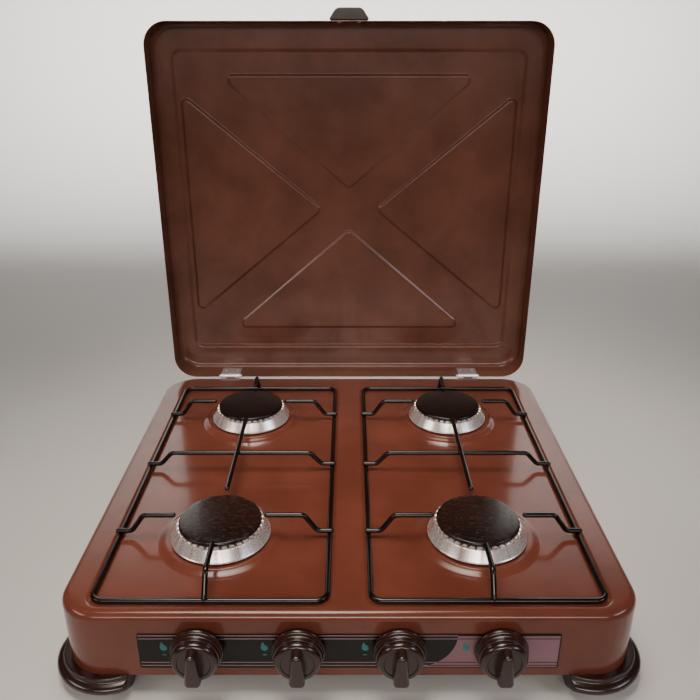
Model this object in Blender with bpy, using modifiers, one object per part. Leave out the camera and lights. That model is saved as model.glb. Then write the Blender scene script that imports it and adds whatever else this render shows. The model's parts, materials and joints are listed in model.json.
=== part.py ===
"""Four-burner table-top gas cooker with a hinged lid, modelled piece by piece.

The origin lies on the ground at the middle of the body's footprint, +Y points to the back and +Z up.
The lid stands open, the knobs stand at off, and the pan supports and burner caps lie in their seats.
"""

import math

import bmesh
import bpy
from mathutils import Vector, geometry

MM = 0.001

# Fits that many pieces share.
CLEARANCE = 0.3 * MM
OVERRUN = 4.0 * MM
WELD_DISTANCE = 0.001 * MM
MERGE_DISTANCE = 0.05 * MM

# Body: one deep-drawn steel tub, open below, with a return flange and corner gussets.
BODY_WIDTH = 560.0 * MM
BODY_DEPTH = 519.0 * MM
BODY_HEIGHT = 75.0 * MM
FOOT_HEIGHT = 21.0 * MM
BODY_CORNER = 42.0 * MM
BODY_EDGE = 8.0 * MM
SHEET = 1.0 * MM
FLANGE = 9.0 * MM
GUSSET = 80.0 * MM

# Burners stand on raised collars in the plate.
BURNER_FROM_SIDE = 142.7 * MM
BURNER_FROM_FRONT = 119.5 * MM
BURNER_FROM_BACK = 134.5 * MM
COLLAR_FOOT = 68.0 * MM
COLLAR_TOP = 57.0 * MM
COLLAR_RISE = 1.5 * MM
BURNER_HOLE = 26.0 * MM

# Pan supports: black enamelled wire, one over each pair of burners, in shallow pressed wells.
WIRE = 2.75 * MM
WELL_DEPTH = 1.5 * MM
WELL_MARGIN = 4.5 * MM
WELL_DRAFT = 1.5 * MM
SUPPORT_INNER_X = 21.0 * MM
SUPPORT_FROM_SIDE = 34.0 * MM
SUPPORT_FROM_FRONT = 17.9 * MM
SUPPORT_FROM_BACK = 44.2 * MM
SUPPORT_CORNER = 11.0 * MM
WELD_SINK = 0.9 * MM
POT_HEIGHT = 29.0 * MM
FINGER_STUB = 4.5 * MM
FINGER_LOW_RUN = 13.0 * MM
FINGER_RISE_RUN = 14.0 * MM
FINGER_REACH = 47.0 * MM
FINGER_BEND = 7.0 * MM
CROSSBAR_BEHIND_MIDDLE = 1.9 * MM

# Burner head: an aluminium cone with a castellated crown and a mixing neck.
CONE_FOOT = 53.0 * MM
CONE_TOP = 46.5 * MM
CONE_LIP = 1.5 * MM
CONE_GAP = 1.5 * MM
CROWN_INNER = 42.5 * MM
CROWN_HEIGHT = 13.9 * MM
TOOTH_HEIGHT = 3.0 * MM
TEETH = 16
HEAD_HUB = 31.0 * MM
NECK_OUTER = 17.5 * MM
NECK_BORE = 14.5 * MM
NECK_DROP = 22.0 * MM
THROAT_DROP = 4.4 * MM

# Burner cap: an enamelled steel disc with a locating plug below.
CAP_RADIUS = 44.0 * MM
CAP_EDGE = 2.2 * MM
CAP_DOME = 1.2 * MM
CAP_ROUND = 1.3 * MM
CAP_PLUG_DEPTH = 2.4 * MM

# Injector holder below each burner, with its injector.
HOLDER_FLANGE = 33.0 * MM
HOLDER_RADIUS = 23.2 * MM
HOLDER_WALL = 1.2 * MM
HOLDER_BOTTOM = -50.0 * MM
HOLDER_BORE = 4.3 * MM
WINDOW_WIDTH = 16.0 * MM
WINDOW_HEIGHT = 12.0 * MM
WINDOW_MIDDLE = -38.0 * MM
INJECTOR_TIP = -40.0 * MM
INJECTOR_TIP_RADIUS = 2.2 * MM
INJECTOR_NUT = 6.0 * MM
INJECTOR_BOTTOM = -64.0 * MM

# Gas taps, their cones and spindles, on one axis each with a knob.
TAP_X_SHARES = (-1.5, -0.5, 0.5, 1.5)
TAP_FROM_STRIP_END = 56.75 * MM
TAP_ABOVE_RAIL = 19.0 * MM
TAP_NECK = 7.5 * MM
TAP_NECK_LENGTH = 8.0 * MM
TAP_RADIUS = 9.0 * MM
TAP_LENGTH = 33.0 * MM
TAP_TAIL = 6.0 * MM
TAP_TAIL_END = 44.0 * MM
TAP_MOUTH = 5.8 * MM
TAP_SEAT = 4.8 * MM
TAP_SEAT_DEPTH = 32.0 * MM
TAP_BOSS = 5.0 * MM
CONE_PLUG_LENGTH = 22.0 * MM
PLUG_SOCKET_DEPTH = 14.0 * MM
SPINDLE_RADIUS = 3.0 * MM
SPINDLE_FLAT = 2.0 * MM
SPINDLE_FRONT = 20.0 * MM
PUSH_TRAVEL = 3.0 * MM
SPINDLE_HOLE = 6.0 * MM

# Knob: a drum with a flange behind, a groove, a ring round the face, and a pear-shaped grip in front.
KNOB_BACK = 5.0 * MM
KNOB_FLANGE = 25.5 * MM
KNOB_FLANGE_FRONT = 6.8 * MM
KNOB_DRUM = 23.2 * MM
KNOB_DRUM_FRONT = 16.0 * MM
KNOB_GROOVE = 21.0 * MM
KNOB_GROOVE_FRONT = 17.0 * MM
KNOB_RING = 22.0 * MM
KNOB_RING_FRONT = 20.0 * MM
KNOB_FACE = 21.0 * MM
KNOB_FACE_RADIUS = 18.0 * MM
KNOB_FRONT = 35.0 * MM
GRIP_TOP_RADIUS = 5.0 * MM
GRIP_TOP_Y = 13.5 * MM
GRIP_LOW_RADIUS = 9.5 * MM
GRIP_LOW_Y = -10.0 * MM
GRIP_EDGE = 2.5 * MM

# Control strip on the front wall.
STRIP_WIDTH = 400.0 * MM
STRIP_HEIGHT = 41.2 * MM
STRIP_BELOW_KNOBS = 5.5 * MM
STRIP_THICKNESS = 0.8 * MM

# Feet: flared round plastic shoes round the lower corners, each held by a screw.
FOOT_RADIUS = 57.0 * MM
FOOT_BOTTOM = 43.5 * MM
FOOT_LIP_RISE = 3.0 * MM
FOOT_LIP_TOP = 50.0 * MM
FOOT_PROFILE_SHARES = ((0.82, 1.0), (0.45, 0.72), (0.12, 0.33))
FOOT_INNER_RUN = 24.0 * MM
FOOT_RECESS = 8.0 * MM
FOOT_RECESS_DEPTH = 13.0 * MM
FOOT_SCREW = 2.0 * MM
FOOT_SCREW_HEAD = 4.2 * MM
FOOT_SCREW_HEAD_HEIGHT = 2.6 * MM
FOOT_SCREW_HEAD_EDGE = 1.0 * MM
FOOT_SCREW_END = 5.0 * MM

# Gas rail below the taps, its brackets and the hose tail through the back wall.
RAIL_RADIUS = 6.5 * MM
RAIL_FROM_FRONT = 33.5 * MM
RAIL_ABOVE_BOTTOM = 19.0 * MM
RAIL_PAST_TAP = 21.75 * MM
RAIL_FROM_SIDE = 65.0 * MM
RAIL_BEND = 30.0 * MM
RAIL_FROM_BACK = 23.5 * MM
BRACKET_THICKNESS = 1.5 * MM
BRACKET_HEIGHT = 24.0 * MM
BRACKET_TAB = 12.0 * MM
BRACKET_LENGTH = 45.2 * MM
FEED_RADIUS = 3.0 * MM
FEED_DROP = 58.0 * MM
FEED_BEND = 14.0 * MM
FEED_LEVEL_RUN = 16.0 * MM
FEED_SLOPE_RUN = 20.0 * MM
FEED_CROSS_SHARE = 0.45
TAIL_BORE = 2.5 * MM
TAIL_NUT = 9.5 * MM
TAIL_NECK = 7.0 * MM
TAIL_HEX = 10.0 * MM
TAIL_HEX_LENGTH = 7.0 * MM
TAIL_BARB = 5.5 * MM
TAIL_BARB_ROOT = 4.5 * MM
TAIL_BARB_PITCH = 5.0 * MM
TAIL_BARBS = 2

# Lid: a drawn steel pan, hinged at the back, with a raised field and four triangles.
LID_FROM_SIDE = 8.25 * MM
LID_FROM_FRONT = 8.0 * MM
LID_DEPTH = 39.0 * MM
LID_CORNER = 32.0 * MM
LID_EDGE = 9.0 * MM
LID_RIM_GAP = 0.5 * MM
FIELD_FROM_SIDE = 23.75 * MM
FIELD_FROM_END = 33.25 * MM
FIELD_RISE = 3.5 * MM
FIELD_CORNER = 14.0 * MM
TRIANGLE_SINK = 2.5 * MM
END_TRIANGLE_FROM_SIDE = 78.0 * MM
END_TRIANGLE_FROM_END = 33.0 * MM
END_TRIANGLE_SIDE = 14.0 * MM
END_TRIANGLE_APEX = 28.0 * MM
SIDE_TRIANGLE_FROM_END = 55.0 * MM
SIDE_TRIANGLE_FROM_SIDE = 10.0 * MM
SIDE_TRIANGLE_APEX = 37.0 * MM
TRIANGLE_CORNER = 7.0 * MM

# Lid handle on the skirt's front.
HANDLE_BASE_HALF = 28.0 * MM
HANDLE_TIP_HALF = 17.0 * MM
HANDLE_REACH = 16.0 * MM
HANDLE_THICKNESS = 12.0 * MM
HANDLE_HEIGHT = 8.0 * MM
HANDLE_ROUND = 5.0 * MM
HANDLE_EDGE = 2.0 * MM

# Hinges: a lid leaf, a body leaf and a pin at each side.
HINGE_FROM_SIDE = 84.75 * MM
HINGE_BEHIND = 0.5 * MM
HINGE_RISE = 2.5 * MM
LEAF_WIDTH = 30.0 * MM
LEAF_THICKNESS = 1.2 * MM
LEAF_LENGTH = 26.0 * MM
KNUCKLE_RADIUS = 3.0 * MM
PIN_RADIUS = 1.5 * MM
PIN_OVERHANG = 0.6 * MM
BODY_KNUCKLE = 14.0 * MM
BODY_LEAF_LENGTH = 32.0 * MM
BODY_LEAF_NECK = 5.0 * MM
SKIRT_NOTCH = 8.0 * MM

# Places worked out from the sizes above.
FRONT_Y = -BODY_DEPTH / 2
BACK_Y = BODY_DEPTH / 2
BODY_BOTTOM = FOOT_HEIGHT
PLATE_TOP = BODY_BOTTOM + BODY_HEIGHT
BURNER_X = BODY_WIDTH / 2 - BURNER_FROM_SIDE
FRONT_BURNER_Y = FRONT_Y + BURNER_FROM_FRONT
BACK_BURNER_Y = BACK_Y - BURNER_FROM_BACK
SUPPORT_OUTER_X = BODY_WIDTH / 2 - SUPPORT_FROM_SIDE
SUPPORT_FRONT_Y = FRONT_Y + SUPPORT_FROM_FRONT
SUPPORT_BACK_Y = BACK_Y - SUPPORT_FROM_BACK
CROSSBAR_Y = (FRONT_BURNER_Y + BACK_BURNER_Y) / 2 + CROSSBAR_BEHIND_MIDDLE
TAP_SPACING = (STRIP_WIDTH - 2 * TAP_FROM_STRIP_END) / (len(TAP_X_SHARES) - 1)
RAIL_Y = FRONT_Y + RAIL_FROM_FRONT
RAIL_LEFT_X = min(TAP_X_SHARES) * TAP_SPACING - RAIL_PAST_TAP
RAIL_RIGHT_X = BODY_WIDTH / 2 - RAIL_FROM_SIDE
RAIL_BACK_Y = BACK_Y - RAIL_FROM_BACK
LID_WIDTH = BODY_WIDTH - 2 * LID_FROM_SIDE
LID_LENGTH = BODY_DEPTH + HINGE_BEHIND + SHEET - LID_FROM_FRONT
FIELD_WIDTH = LID_WIDTH - 2 * FIELD_FROM_SIDE
FIELD_LENGTH = LID_LENGTH - 2 * FIELD_FROM_END
END_TRIANGLE_HALF = FIELD_WIDTH / 2 - END_TRIANGLE_FROM_SIDE
END_TRIANGLE_BASE = FIELD_LENGTH / 2 - END_TRIANGLE_FROM_END
SIDE_TRIANGLE_HALF = FIELD_LENGTH / 2 - SIDE_TRIANGLE_FROM_END
SIDE_TRIANGLE_BASE = FIELD_WIDTH / 2 - SIDE_TRIANGLE_FROM_SIDE
HINGE_X = LID_WIDTH / 2 - HINGE_FROM_SIDE
WELL_FLOOR = PLATE_TOP - WELL_DEPTH
COLLAR_LEVEL = PLATE_TOP + COLLAR_RISE
HEAD_LEVEL = COLLAR_LEVEL + CLEARANCE
FRAME_WIRE_Z = WELL_FLOOR + CLEARANCE + WIRE
RAIL_Z = BODY_BOTTOM + RAIL_ABOVE_BOTTOM
TAP_AXIS_Z = RAIL_Z + TAP_ABOVE_RAIL
HINGE_Y = BACK_Y + HINGE_BEHIND
HINGE_Z = PLATE_TOP + HINGE_RISE
BURNERS = {
    "front_left": (-BURNER_X, FRONT_BURNER_Y),
    "back_left": (-BURNER_X, BACK_BURNER_Y),
    "back_right": (BURNER_X, BACK_BURNER_Y),
    "front_right": (BURNER_X, FRONT_BURNER_Y),
}
TAP_X = {name: share * TAP_SPACING for name, share in zip(BURNERS, TAP_X_SHARES)}
SIDES = {"left": -1, "right": 1}
CORNERS = {
    "front_left": (-1, -1),
    "front_right": (1, -1),
    "back_left": (-1, 1),
    "back_right": (1, 1),
}

# Fineness of round shapes.
CORNER_SEGMENTS = 5
EDGE_SEGMENTS = 3
WIRE_RESOLUTION = 2
HIDDEN_RESOLUTION = 1
BEND_SEGMENTS = 2
RAIL_BEND_SEGMENTS = 5
FRAME_CORNER_SEGMENTS = 3
COLLAR_STEPS = 24
CAP_STEPS = 24
KNOB_STEPS = 20
GRIP_STEPS = 5
FOOT_STEPS = 20
TAP_STEPS = 12
HIDDEN_STEPS = 8
SCREW_STEPS = 8


def clear_scene():
    """Remove every object that the file opened with."""
    for obj in list(bpy.data.objects):
        bpy.data.objects.remove(obj, do_unlink=True)


def new_collection(name):
    collection = bpy.data.collections.new(name)
    bpy.context.scene.collection.children.link(collection)
    return collection


def new_material(name, colour, roughness, metallic=0.0):
    material = bpy.data.materials.new(name)
    material.use_nodes = True
    shader = material.node_tree.nodes["Principled BSDF"]
    shader.inputs["Base Color"].default_value = (*colour, 1.0)
    shader.inputs["Roughness"].default_value = roughness
    shader.inputs["Metallic"].default_value = metallic
    material.diffuse_color = (*colour, 1.0)
    return material


clear_scene()
PARTS = new_collection("gas_cooker")
CUTTERS = new_collection("cutters")

PLATE_ENAMEL = new_material("brown_enamel", (0.16, 0.055, 0.03), 0.22)
LID_ENAMEL = new_material("dark_brown_enamel", (0.09, 0.035, 0.015), 0.25)
BLACK_ENAMEL = new_material("black_enamel", (0.012, 0.009, 0.008), 0.2)
ALUMINIUM = new_material("cast_aluminium", (0.72, 0.69, 0.67), 0.3, 1.0)
BROWN_PLASTIC = new_material("dark_brown_plastic", (0.03, 0.012, 0.009), 0.35)
STRIP_INK = new_material("printed_strip", (0.01, 0.008, 0.008), 0.35, 0.3)
BRASS = new_material("brass", (0.62, 0.45, 0.18), 0.35, 1.0)
STEEL = new_material("zinc_plated_steel", (0.55, 0.55, 0.56), 0.35, 1.0)
TUBE = new_material("drawn_aluminium_tube", (0.66, 0.66, 0.67), 0.4, 1.0)


def add_object(name, data, material=None, location=(0, 0, 0), rotation=(0, 0, 0)):
    """Put data on a new object: a part where it has a material, otherwise a cutter or a joined shape."""
    obj = bpy.data.objects.new(name, data)
    obj.location = location
    obj.rotation_euler = rotation
    if material is None:
        CUTTERS.objects.link(obj)
        obj.hide_render = True
        obj.display_type = "WIRE"
    else:
        PARTS.objects.link(obj)
        data.materials.clear()
        data.materials.append(material)
    return obj


def mesh_from(bm, name):
    bmesh.ops.recalc_face_normals(bm, faces=bm.faces)
    mesh = bpy.data.meshes.new(name)
    bm.to_mesh(mesh)
    bm.free()
    return mesh


def smooth(obj, angle=math.radians(35)):
    """Shade a round piece smooth, with its real edges kept sharp."""
    obj.data.shade_smooth()
    obj.data.set_sharp_from_angle(angle=angle)
    return obj


def frozen(obj):
    """Apply an object's modifiers, or make a curve a welded mesh, under the same name and place."""
    bpy.context.view_layer.update()
    depsgraph = bpy.context.evaluated_depsgraph_get()
    mesh = bpy.data.meshes.new_from_object(obj.evaluated_get(depsgraph))
    bm = bmesh.new()
    bm.from_mesh(mesh)
    bmesh.ops.remove_doubles(bm, verts=bm.verts, dist=WELD_DISTANCE)
    bm.to_mesh(mesh)
    bm.free()
    collection = obj.users_collection[0]
    name = obj.name
    solid = bpy.data.objects.new(name, mesh)
    solid.matrix_world = obj.matrix_world.copy()
    solid.hide_render = obj.hide_render
    solid.display_type = obj.display_type
    collection.objects.link(solid)
    bpy.data.objects.remove(obj, do_unlink=True)
    solid.name = name
    return solid


def boolean(obj, operand, operation):
    modifier = obj.modifiers.new(operation.lower() + "_" + operand.name, "BOOLEAN")
    modifier.operation = operation
    modifier.object = operand
    return obj


def box(name, low, high, material=None):
    """A plain box between two corners."""
    low = Vector(low)
    high = Vector(high)
    bm = bmesh.new()
    bmesh.ops.create_cube(bm, size=1)
    bmesh.ops.scale(bm, vec=high - low, verts=bm.verts)
    return add_object(name, mesh_from(bm, name), material, (low + high) / 2)


def bevel_edges(bm, edges, width, segments):
    bmesh.ops.bevel(
        bm,
        geom=edges,
        offset=width,
        offset_type="OFFSET",
        segments=segments,
        profile=0.5,
        affect="EDGES",
        clamp_overlap=True,
        material=-1,
    )


def edges_at(bm, height):
    """The edges that lie wholly at one height."""
    return [
        edge
        for edge in bm.edges
        if all(abs(vert.co.z - height) < MERGE_DISTANCE for vert in edge.verts)
    ]


def rounded_block(name, size, corner, top_edge, location, material=None, draft=0.0):
    """A block with round upright corners and, where top_edge isn't zero, a round upper edge."""
    half_height = size[2] / 2
    bm = bmesh.new()
    bmesh.ops.create_cube(bm, size=1)
    bmesh.ops.scale(bm, vec=size, verts=bm.verts)
    upright = [
        edge
        for edge in bm.edges
        if abs(edge.verts[0].co.z - edge.verts[1].co.z) > half_height
    ]
    bevel_edges(bm, upright, corner, CORNER_SEGMENTS)
    if top_edge:
        bevel_edges(bm, edges_at(bm, half_height), top_edge, EDGE_SEGMENTS)
    for vert in bm.verts:
        if draft and vert.co.z < 0:
            vert.co.x *= 1 - 2 * draft / size[0]
            vert.co.y *= 1 - 2 * draft / size[1]
    return add_object(name, mesh_from(bm, name), material, location)


def prism(name, outline, thickness, location, rotation=(0, 0, 0)):
    """A flat outline, as a filled curve, given a thickness around its plane and made a mesh."""
    curve = bpy.data.curves.new(name, "CURVE")
    curve.dimensions = "2D"
    curve.fill_mode = "BOTH"
    curve.extrude = thickness / 2
    spline = curve.splines.new("POLY")
    spline.points.add(len(outline) - 1)
    for point, place in zip(spline.points, outline):
        point.co = (place[0], place[1], 0, 1)
    spline.use_cyclic_u = True
    return frozen(add_object(name, curve, None, location, rotation))


def arc_points(before, corner, after, radius, segments):
    """Points of the arc that rounds one corner of a path."""
    start = (before - corner).normalized()
    end = (after - corner).normalized()
    opening = start.angle(end)
    if opening > math.radians(179):
        return [corner]
    reach = radius / math.tan(opening / 2)
    reach = min(reach, (before - corner).length / 2, (after - corner).length / 2)
    first = corner + start * reach
    last = corner + end * reach
    points = []
    for step in range(segments + 1):
        share = step / segments
        along = first.lerp(corner, share)
        points.append(along.lerp(corner.lerp(last, share), share))
    return points


def rounded_path(points, radius, segments=BEND_SEGMENTS, closed=False):
    """A path whose corners are drawn as arcs."""
    corners = [Vector(point) for point in points]
    count = len(corners)
    if closed:
        inner = range(count)
    else:
        inner = range(1, count - 1)
    path = [] if closed else [corners[0]]
    for index in inner:
        before = corners[index - 1]
        after = corners[(index + 1) % count]
        path += arc_points(before, corners[index], after, radius, segments)
    if not closed:
        path.append(corners[-1])
    return path


def wire(name, path, radius, material=None, closed=False, resolution=WIRE_RESOLUTION):
    """A round wire or tube along a path, made a closed mesh."""
    curve = bpy.data.curves.new(name, "CURVE")
    curve.dimensions = "3D"
    curve.bevel_depth = radius
    curve.bevel_resolution = resolution
    curve.use_fill_caps = not closed
    spline = curve.splines.new("POLY")
    spline.points.add(len(path) - 1)
    for point, place in zip(spline.points, path):
        point.co = (*place, 1)
    spline.use_cyclic_u = closed
    solid = frozen(add_object(name, curve, None))
    if material is not None:
        make_part(solid, material)
    return solid


def make_part(obj, material):
    """Move a joined shape from the cutters to the parts and give it its material."""
    CUTTERS.objects.unlink(obj)
    PARTS.objects.link(obj)
    obj.hide_render = False
    obj.display_type = "TEXTURED"
    obj.data.materials.clear()
    obj.data.materials.append(material)
    return smooth(obj)


def turned(name, profile, steps, location, material=None, rotation=(0, 0, 0)):
    """A turned piece, from the radii and heights of its section."""
    closed = profile[0][0] > 0 or profile[-1][0] > 0
    mesh = bpy.data.meshes.new(name)
    bm = bmesh.new()
    verts = [bm.verts.new((radius, 0, height)) for radius, height in profile]
    for first, second in zip(verts, verts[1:]):
        bm.edges.new((first, second))
    if closed:
        bm.edges.new((verts[-1], verts[0]))
    bm.to_mesh(mesh)
    bm.free()
    obj = add_object(name, mesh, None, location, rotation)
    screw = obj.modifiers.new("turn", "SCREW")
    screw.axis = "Z"
    screw.angle = 2 * math.pi
    screw.steps = steps
    screw.render_steps = steps
    screw.use_merge_vertices = True
    screw.merge_threshold = MERGE_DISTANCE
    obj = frozen(obj)
    if material is not None:
        make_part(obj, material)
    return obj


def copy_of(obj, name, location):
    """A second piece that shares the first one's mesh."""
    twin = bpy.data.objects.new(name, obj.data)
    twin.location = location
    twin.rotation_euler = obj.rotation_euler
    PARTS.objects.link(twin)
    return twin


FACING_FRONT = (math.radians(90), 0, 0)
FACING_BACK = (math.radians(-90), 0, 0)
ALONG_X = (0, math.radians(90), 0)


def wells(name, inset):
    """The two pressed wells as blocks that reach up past the plate, grown by an inset or not."""
    width = SUPPORT_OUTER_X - SUPPORT_INNER_X + 2 * (WIRE + WELL_MARGIN + inset)
    depth = SUPPORT_BACK_Y - SUPPORT_FRONT_Y + 2 * (WIRE + WELL_MARGIN + inset)
    height = WELL_DEPTH + inset + OVERRUN
    middle_x = (SUPPORT_OUTER_X + SUPPORT_INNER_X) / 2
    middle_y = (SUPPORT_BACK_Y + SUPPORT_FRONT_Y) / 2
    low = PLATE_TOP - WELL_DEPTH - inset
    corner = SUPPORT_CORNER + WELL_MARGIN + inset
    return [
        rounded_block(
            name + "_" + side,
            (width, depth, height),
            corner,
            0,
            (sign * middle_x, middle_y, low + height / 2),
            draft=WELL_DRAFT,
        )
        for side, sign in SIDES.items()
    ]


def collars(name, inset):
    """The raised collars round the burner holes, lowered by a sheet's thickness or not."""
    top = COLLAR_LEVEL - inset
    foot = WELL_FLOOR - inset
    sink = SHEET / 2
    spread = sink * (COLLAR_FOOT - COLLAR_TOP) / (top - foot)
    profile = [
        (0, top),
        (COLLAR_TOP, top),
        (COLLAR_FOOT + spread, foot - sink),
        (0, foot - sink),
    ]
    return [
        turned(name + "_" + burner, profile, COLLAR_STEPS, (x, y, 0))
        for burner, (x, y) in BURNERS.items()
    ]


def build_body():
    """The tub: an outer block and a cavity, each with the same wells and collars, one sheet apart."""
    middle_z = PLATE_TOP - BODY_HEIGHT / 2
    body = rounded_block(
        "hob_body",
        (BODY_WIDTH, BODY_DEPTH, BODY_HEIGHT),
        BODY_CORNER,
        BODY_EDGE,
        (0, 0, middle_z),
        PLATE_ENAMEL,
    )
    cavity = rounded_block(
        "body_cavity",
        (BODY_WIDTH - 2 * SHEET, BODY_DEPTH - 2 * SHEET, BODY_HEIGHT - 2 * SHEET),
        BODY_CORNER - SHEET,
        BODY_EDGE - SHEET,
        (0, 0, middle_z),
    )
    for cutter in wells("cavity_well", SHEET):
        boolean(cavity, cutter, "DIFFERENCE")
    for collar in collars("cavity_collar", SHEET):
        boolean(cavity, collar, "UNION")
    for cutter in wells("plate_well", 0):
        boolean(body, cutter, "DIFFERENCE")
    for collar in collars("plate_collar", 0):
        boolean(body, collar, "UNION")
    boolean(body, cavity, "DIFFERENCE")
    boolean(body, flange_opening(), "DIFFERENCE")
    for burner, (x, y) in BURNERS.items():
        hole = turned(
            "burner_hole_" + burner,
            [(0, COLLAR_LEVEL + OVERRUN), (BURNER_HOLE, COLLAR_LEVEL + OVERRUN),
             (BURNER_HOLE, WELL_FLOOR - OVERRUN), (0, WELL_FLOOR - OVERRUN)],
            COLLAR_STEPS,
            (x, y, 0),
            rotation=(0, 0, math.pi / COLLAR_STEPS),
        )
        boolean(body, hole, "DIFFERENCE")
    for hole in spindle_holes("wall_hole", SHEET):
        boolean(body, hole, "DIFFERENCE")
    boolean(body, inlet_hole(), "DIFFERENCE")
    for hole in foot_screw_holes("gusset_hole"):
        boolean(body, hole, "DIFFERENCE")
    return smooth(body)


def flange_opening():
    """What the return flange leaves open below: a rectangle whose corners are cut off by the gussets."""
    half_width = BODY_WIDTH / 2 - FLANGE
    half_depth = BODY_DEPTH / 2 - FLANGE
    outline = []
    for x_sign, y_sign in ((1, -1), (1, 1), (-1, 1), (-1, -1)):
        near_x = (x_sign * half_width, y_sign * (half_depth - GUSSET))
        near_y = (x_sign * (half_width - GUSSET), y_sign * half_depth)
        outline += [near_y, near_x] if x_sign * y_sign < 0 else [near_x, near_y]
    return prism("flange_opening", outline, 2 * OVERRUN, (0, 0, BODY_BOTTOM))


def drill(name, radius, middle, length, rotation=(0, 0, 0), segments=HIDDEN_STEPS):
    """A round cutter centred on a point."""
    half = length / 2
    profile = [(0, half), (radius, half), (radius, -half), (0, -half)]
    return turned(name, profile, segments, middle, rotation=rotation)


def spindle_holes(name, wall):
    """A hole for each tap's spindle through the front wall or the strip."""
    length = 2 * (wall + OVERRUN)
    return [
        drill(f"{name}_{tap}", SPINDLE_HOLE, (x, FRONT_Y, TAP_AXIS_Z), length, FACING_FRONT)
        for tap, x in TAP_X.items()
    ]


def inlet_hole():
    middle = (RAIL_RIGHT_X, BACK_Y - SHEET / 2, RAIL_Z)
    return drill("inlet_hole", TAIL_NECK + CLEARANCE, middle, 2 * OVERRUN, FACING_FRONT)


def foot_centre(corner):
    """The upright axis of a foot, which is also the axis of the body's corner."""
    x_sign, y_sign = CORNERS[corner]
    return Vector((x_sign * (BODY_WIDTH / 2 - BODY_CORNER), y_sign * (BODY_DEPTH / 2 - BODY_CORNER), 0))


def foot_screw_holes(name):
    length = 2 * (SHEET + OVERRUN)
    return [
        drill(
            f"{name}_{corner}",
            FOOT_SCREW + CLEARANCE,
            foot_centre(corner) + Vector((0, 0, BODY_BOTTOM)),
            length,
            segments=SCREW_STEPS,
        )
        for corner in CORNERS
    ]


def build_strip():
    """The printed strip on the front wall, with a hole for each spindle."""
    back = FRONT_Y - CLEARANCE
    middle_z = TAP_AXIS_Z - STRIP_BELOW_KNOBS
    strip = box(
        "control_strip",
        (-STRIP_WIDTH / 2, back - STRIP_THICKNESS, middle_z - STRIP_HEIGHT / 2),
        (STRIP_WIDTH / 2, back, middle_z + STRIP_HEIGHT / 2),
        STRIP_INK,
    )
    for hole in spindle_holes("strip_hole", STRIP_THICKNESS):
        boolean(strip, hole, "DIFFERENCE")
    return strip


def build_feet():
    """Flared shoes: a turned foot, cut to its corner, with a seat for the body's lower edge."""
    seat = BODY_BOTTOM - CLEARANCE
    lip_top = BODY_BOTTOM + FOOT_LIP_RISE
    profile = [
        (FOOT_BOTTOM + (FOOT_RADIUS - FOOT_BOTTOM) * out_share, lip_top * up_share)
        for up_share, out_share in FOOT_PROFILE_SHARES
    ]
    profile = [(0, lip_top), (FOOT_LIP_TOP, lip_top), *profile, (FOOT_BOTTOM, 0), (0, 0)]
    height = 2 * BODY_HEIGHT
    envelope = rounded_block(
        "body_envelope",
        (BODY_WIDTH + 2 * CLEARANCE, BODY_DEPTH + 2 * CLEARANCE, height),
        BODY_CORNER + CLEARANCE,
        0,
        (0, 0, seat + height / 2),
    )
    for corner, (x_sign, y_sign) in CORNERS.items():
        centre = foot_centre(corner)
        foot = turned("foot_" + corner, profile, FOOT_STEPS, centre, BROWN_PLASTIC)
        reach = 2 * FOOT_RADIUS
        xs = sorted((centre.x - x_sign * FOOT_INNER_RUN, centre.x + x_sign * reach))
        ys = sorted((centre.y - y_sign * FOOT_INNER_RUN, centre.y + y_sign * reach))
        keep = box("foot_quarter_" + corner, (xs[0], ys[0], -OVERRUN), (xs[1], ys[1], lip_top + OVERRUN))
        boolean(foot, keep, "INTERSECT")
        boolean(foot, envelope, "DIFFERENCE")
        recess_height = FOOT_RECESS_DEPTH + OVERRUN
        recess_middle = centre + Vector((0, 0, FOOT_RECESS_DEPTH - recess_height / 2))
        recess = drill("foot_recess_" + corner, FOOT_RECESS, recess_middle, recess_height)
        boolean(foot, recess, "DIFFERENCE")
        hole_middle = centre + Vector((0, 0, seat))
        hole = drill(
            "foot_hole_" + corner, FOOT_SCREW + CLEARANCE, hole_middle, 2 * BODY_BOTTOM, segments=SCREW_STEPS
        )
        boolean(foot, hole, "DIFFERENCE")
        build_foot_screw(corner, centre)


def build_foot_screw(corner, centre):
    """A pan-head screw from the foot's recess up through the gusset."""
    seat = FOOT_RECESS_DEPTH - CLEARANCE
    low = seat - FOOT_SCREW_HEAD_HEIGHT
    profile = [
        (0, BODY_BOTTOM + FOOT_SCREW_END),
        (FOOT_SCREW, BODY_BOTTOM + FOOT_SCREW_END),
        (FOOT_SCREW, seat),
        (FOOT_SCREW_HEAD, seat),
        (FOOT_SCREW_HEAD, low + FOOT_SCREW_HEAD_EDGE),
        (FOOT_SCREW_HEAD - FOOT_SCREW_HEAD_EDGE, low),
        (0, low),
    ]
    return turned("foot_screw_" + corner, profile, SCREW_STEPS, centre, STEEL)


def head_profile():
    """The burner head's section, measured up from its seat on the collar."""
    return [
        (CONE_TOP, CROWN_HEIGHT),
        (CONE_FOOT, CONE_GAP),
        (CONE_FOOT - CONE_LIP, CONE_GAP),
        (HEAD_HUB, 0),
        (NECK_OUTER, 0),
        (NECK_OUTER, -NECK_DROP),
        (NECK_BORE, -NECK_DROP),
        (NECK_BORE, CROWN_HEIGHT - THROAT_DROP),
        (CROWN_INNER, CROWN_HEIGHT),
    ]


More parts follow.
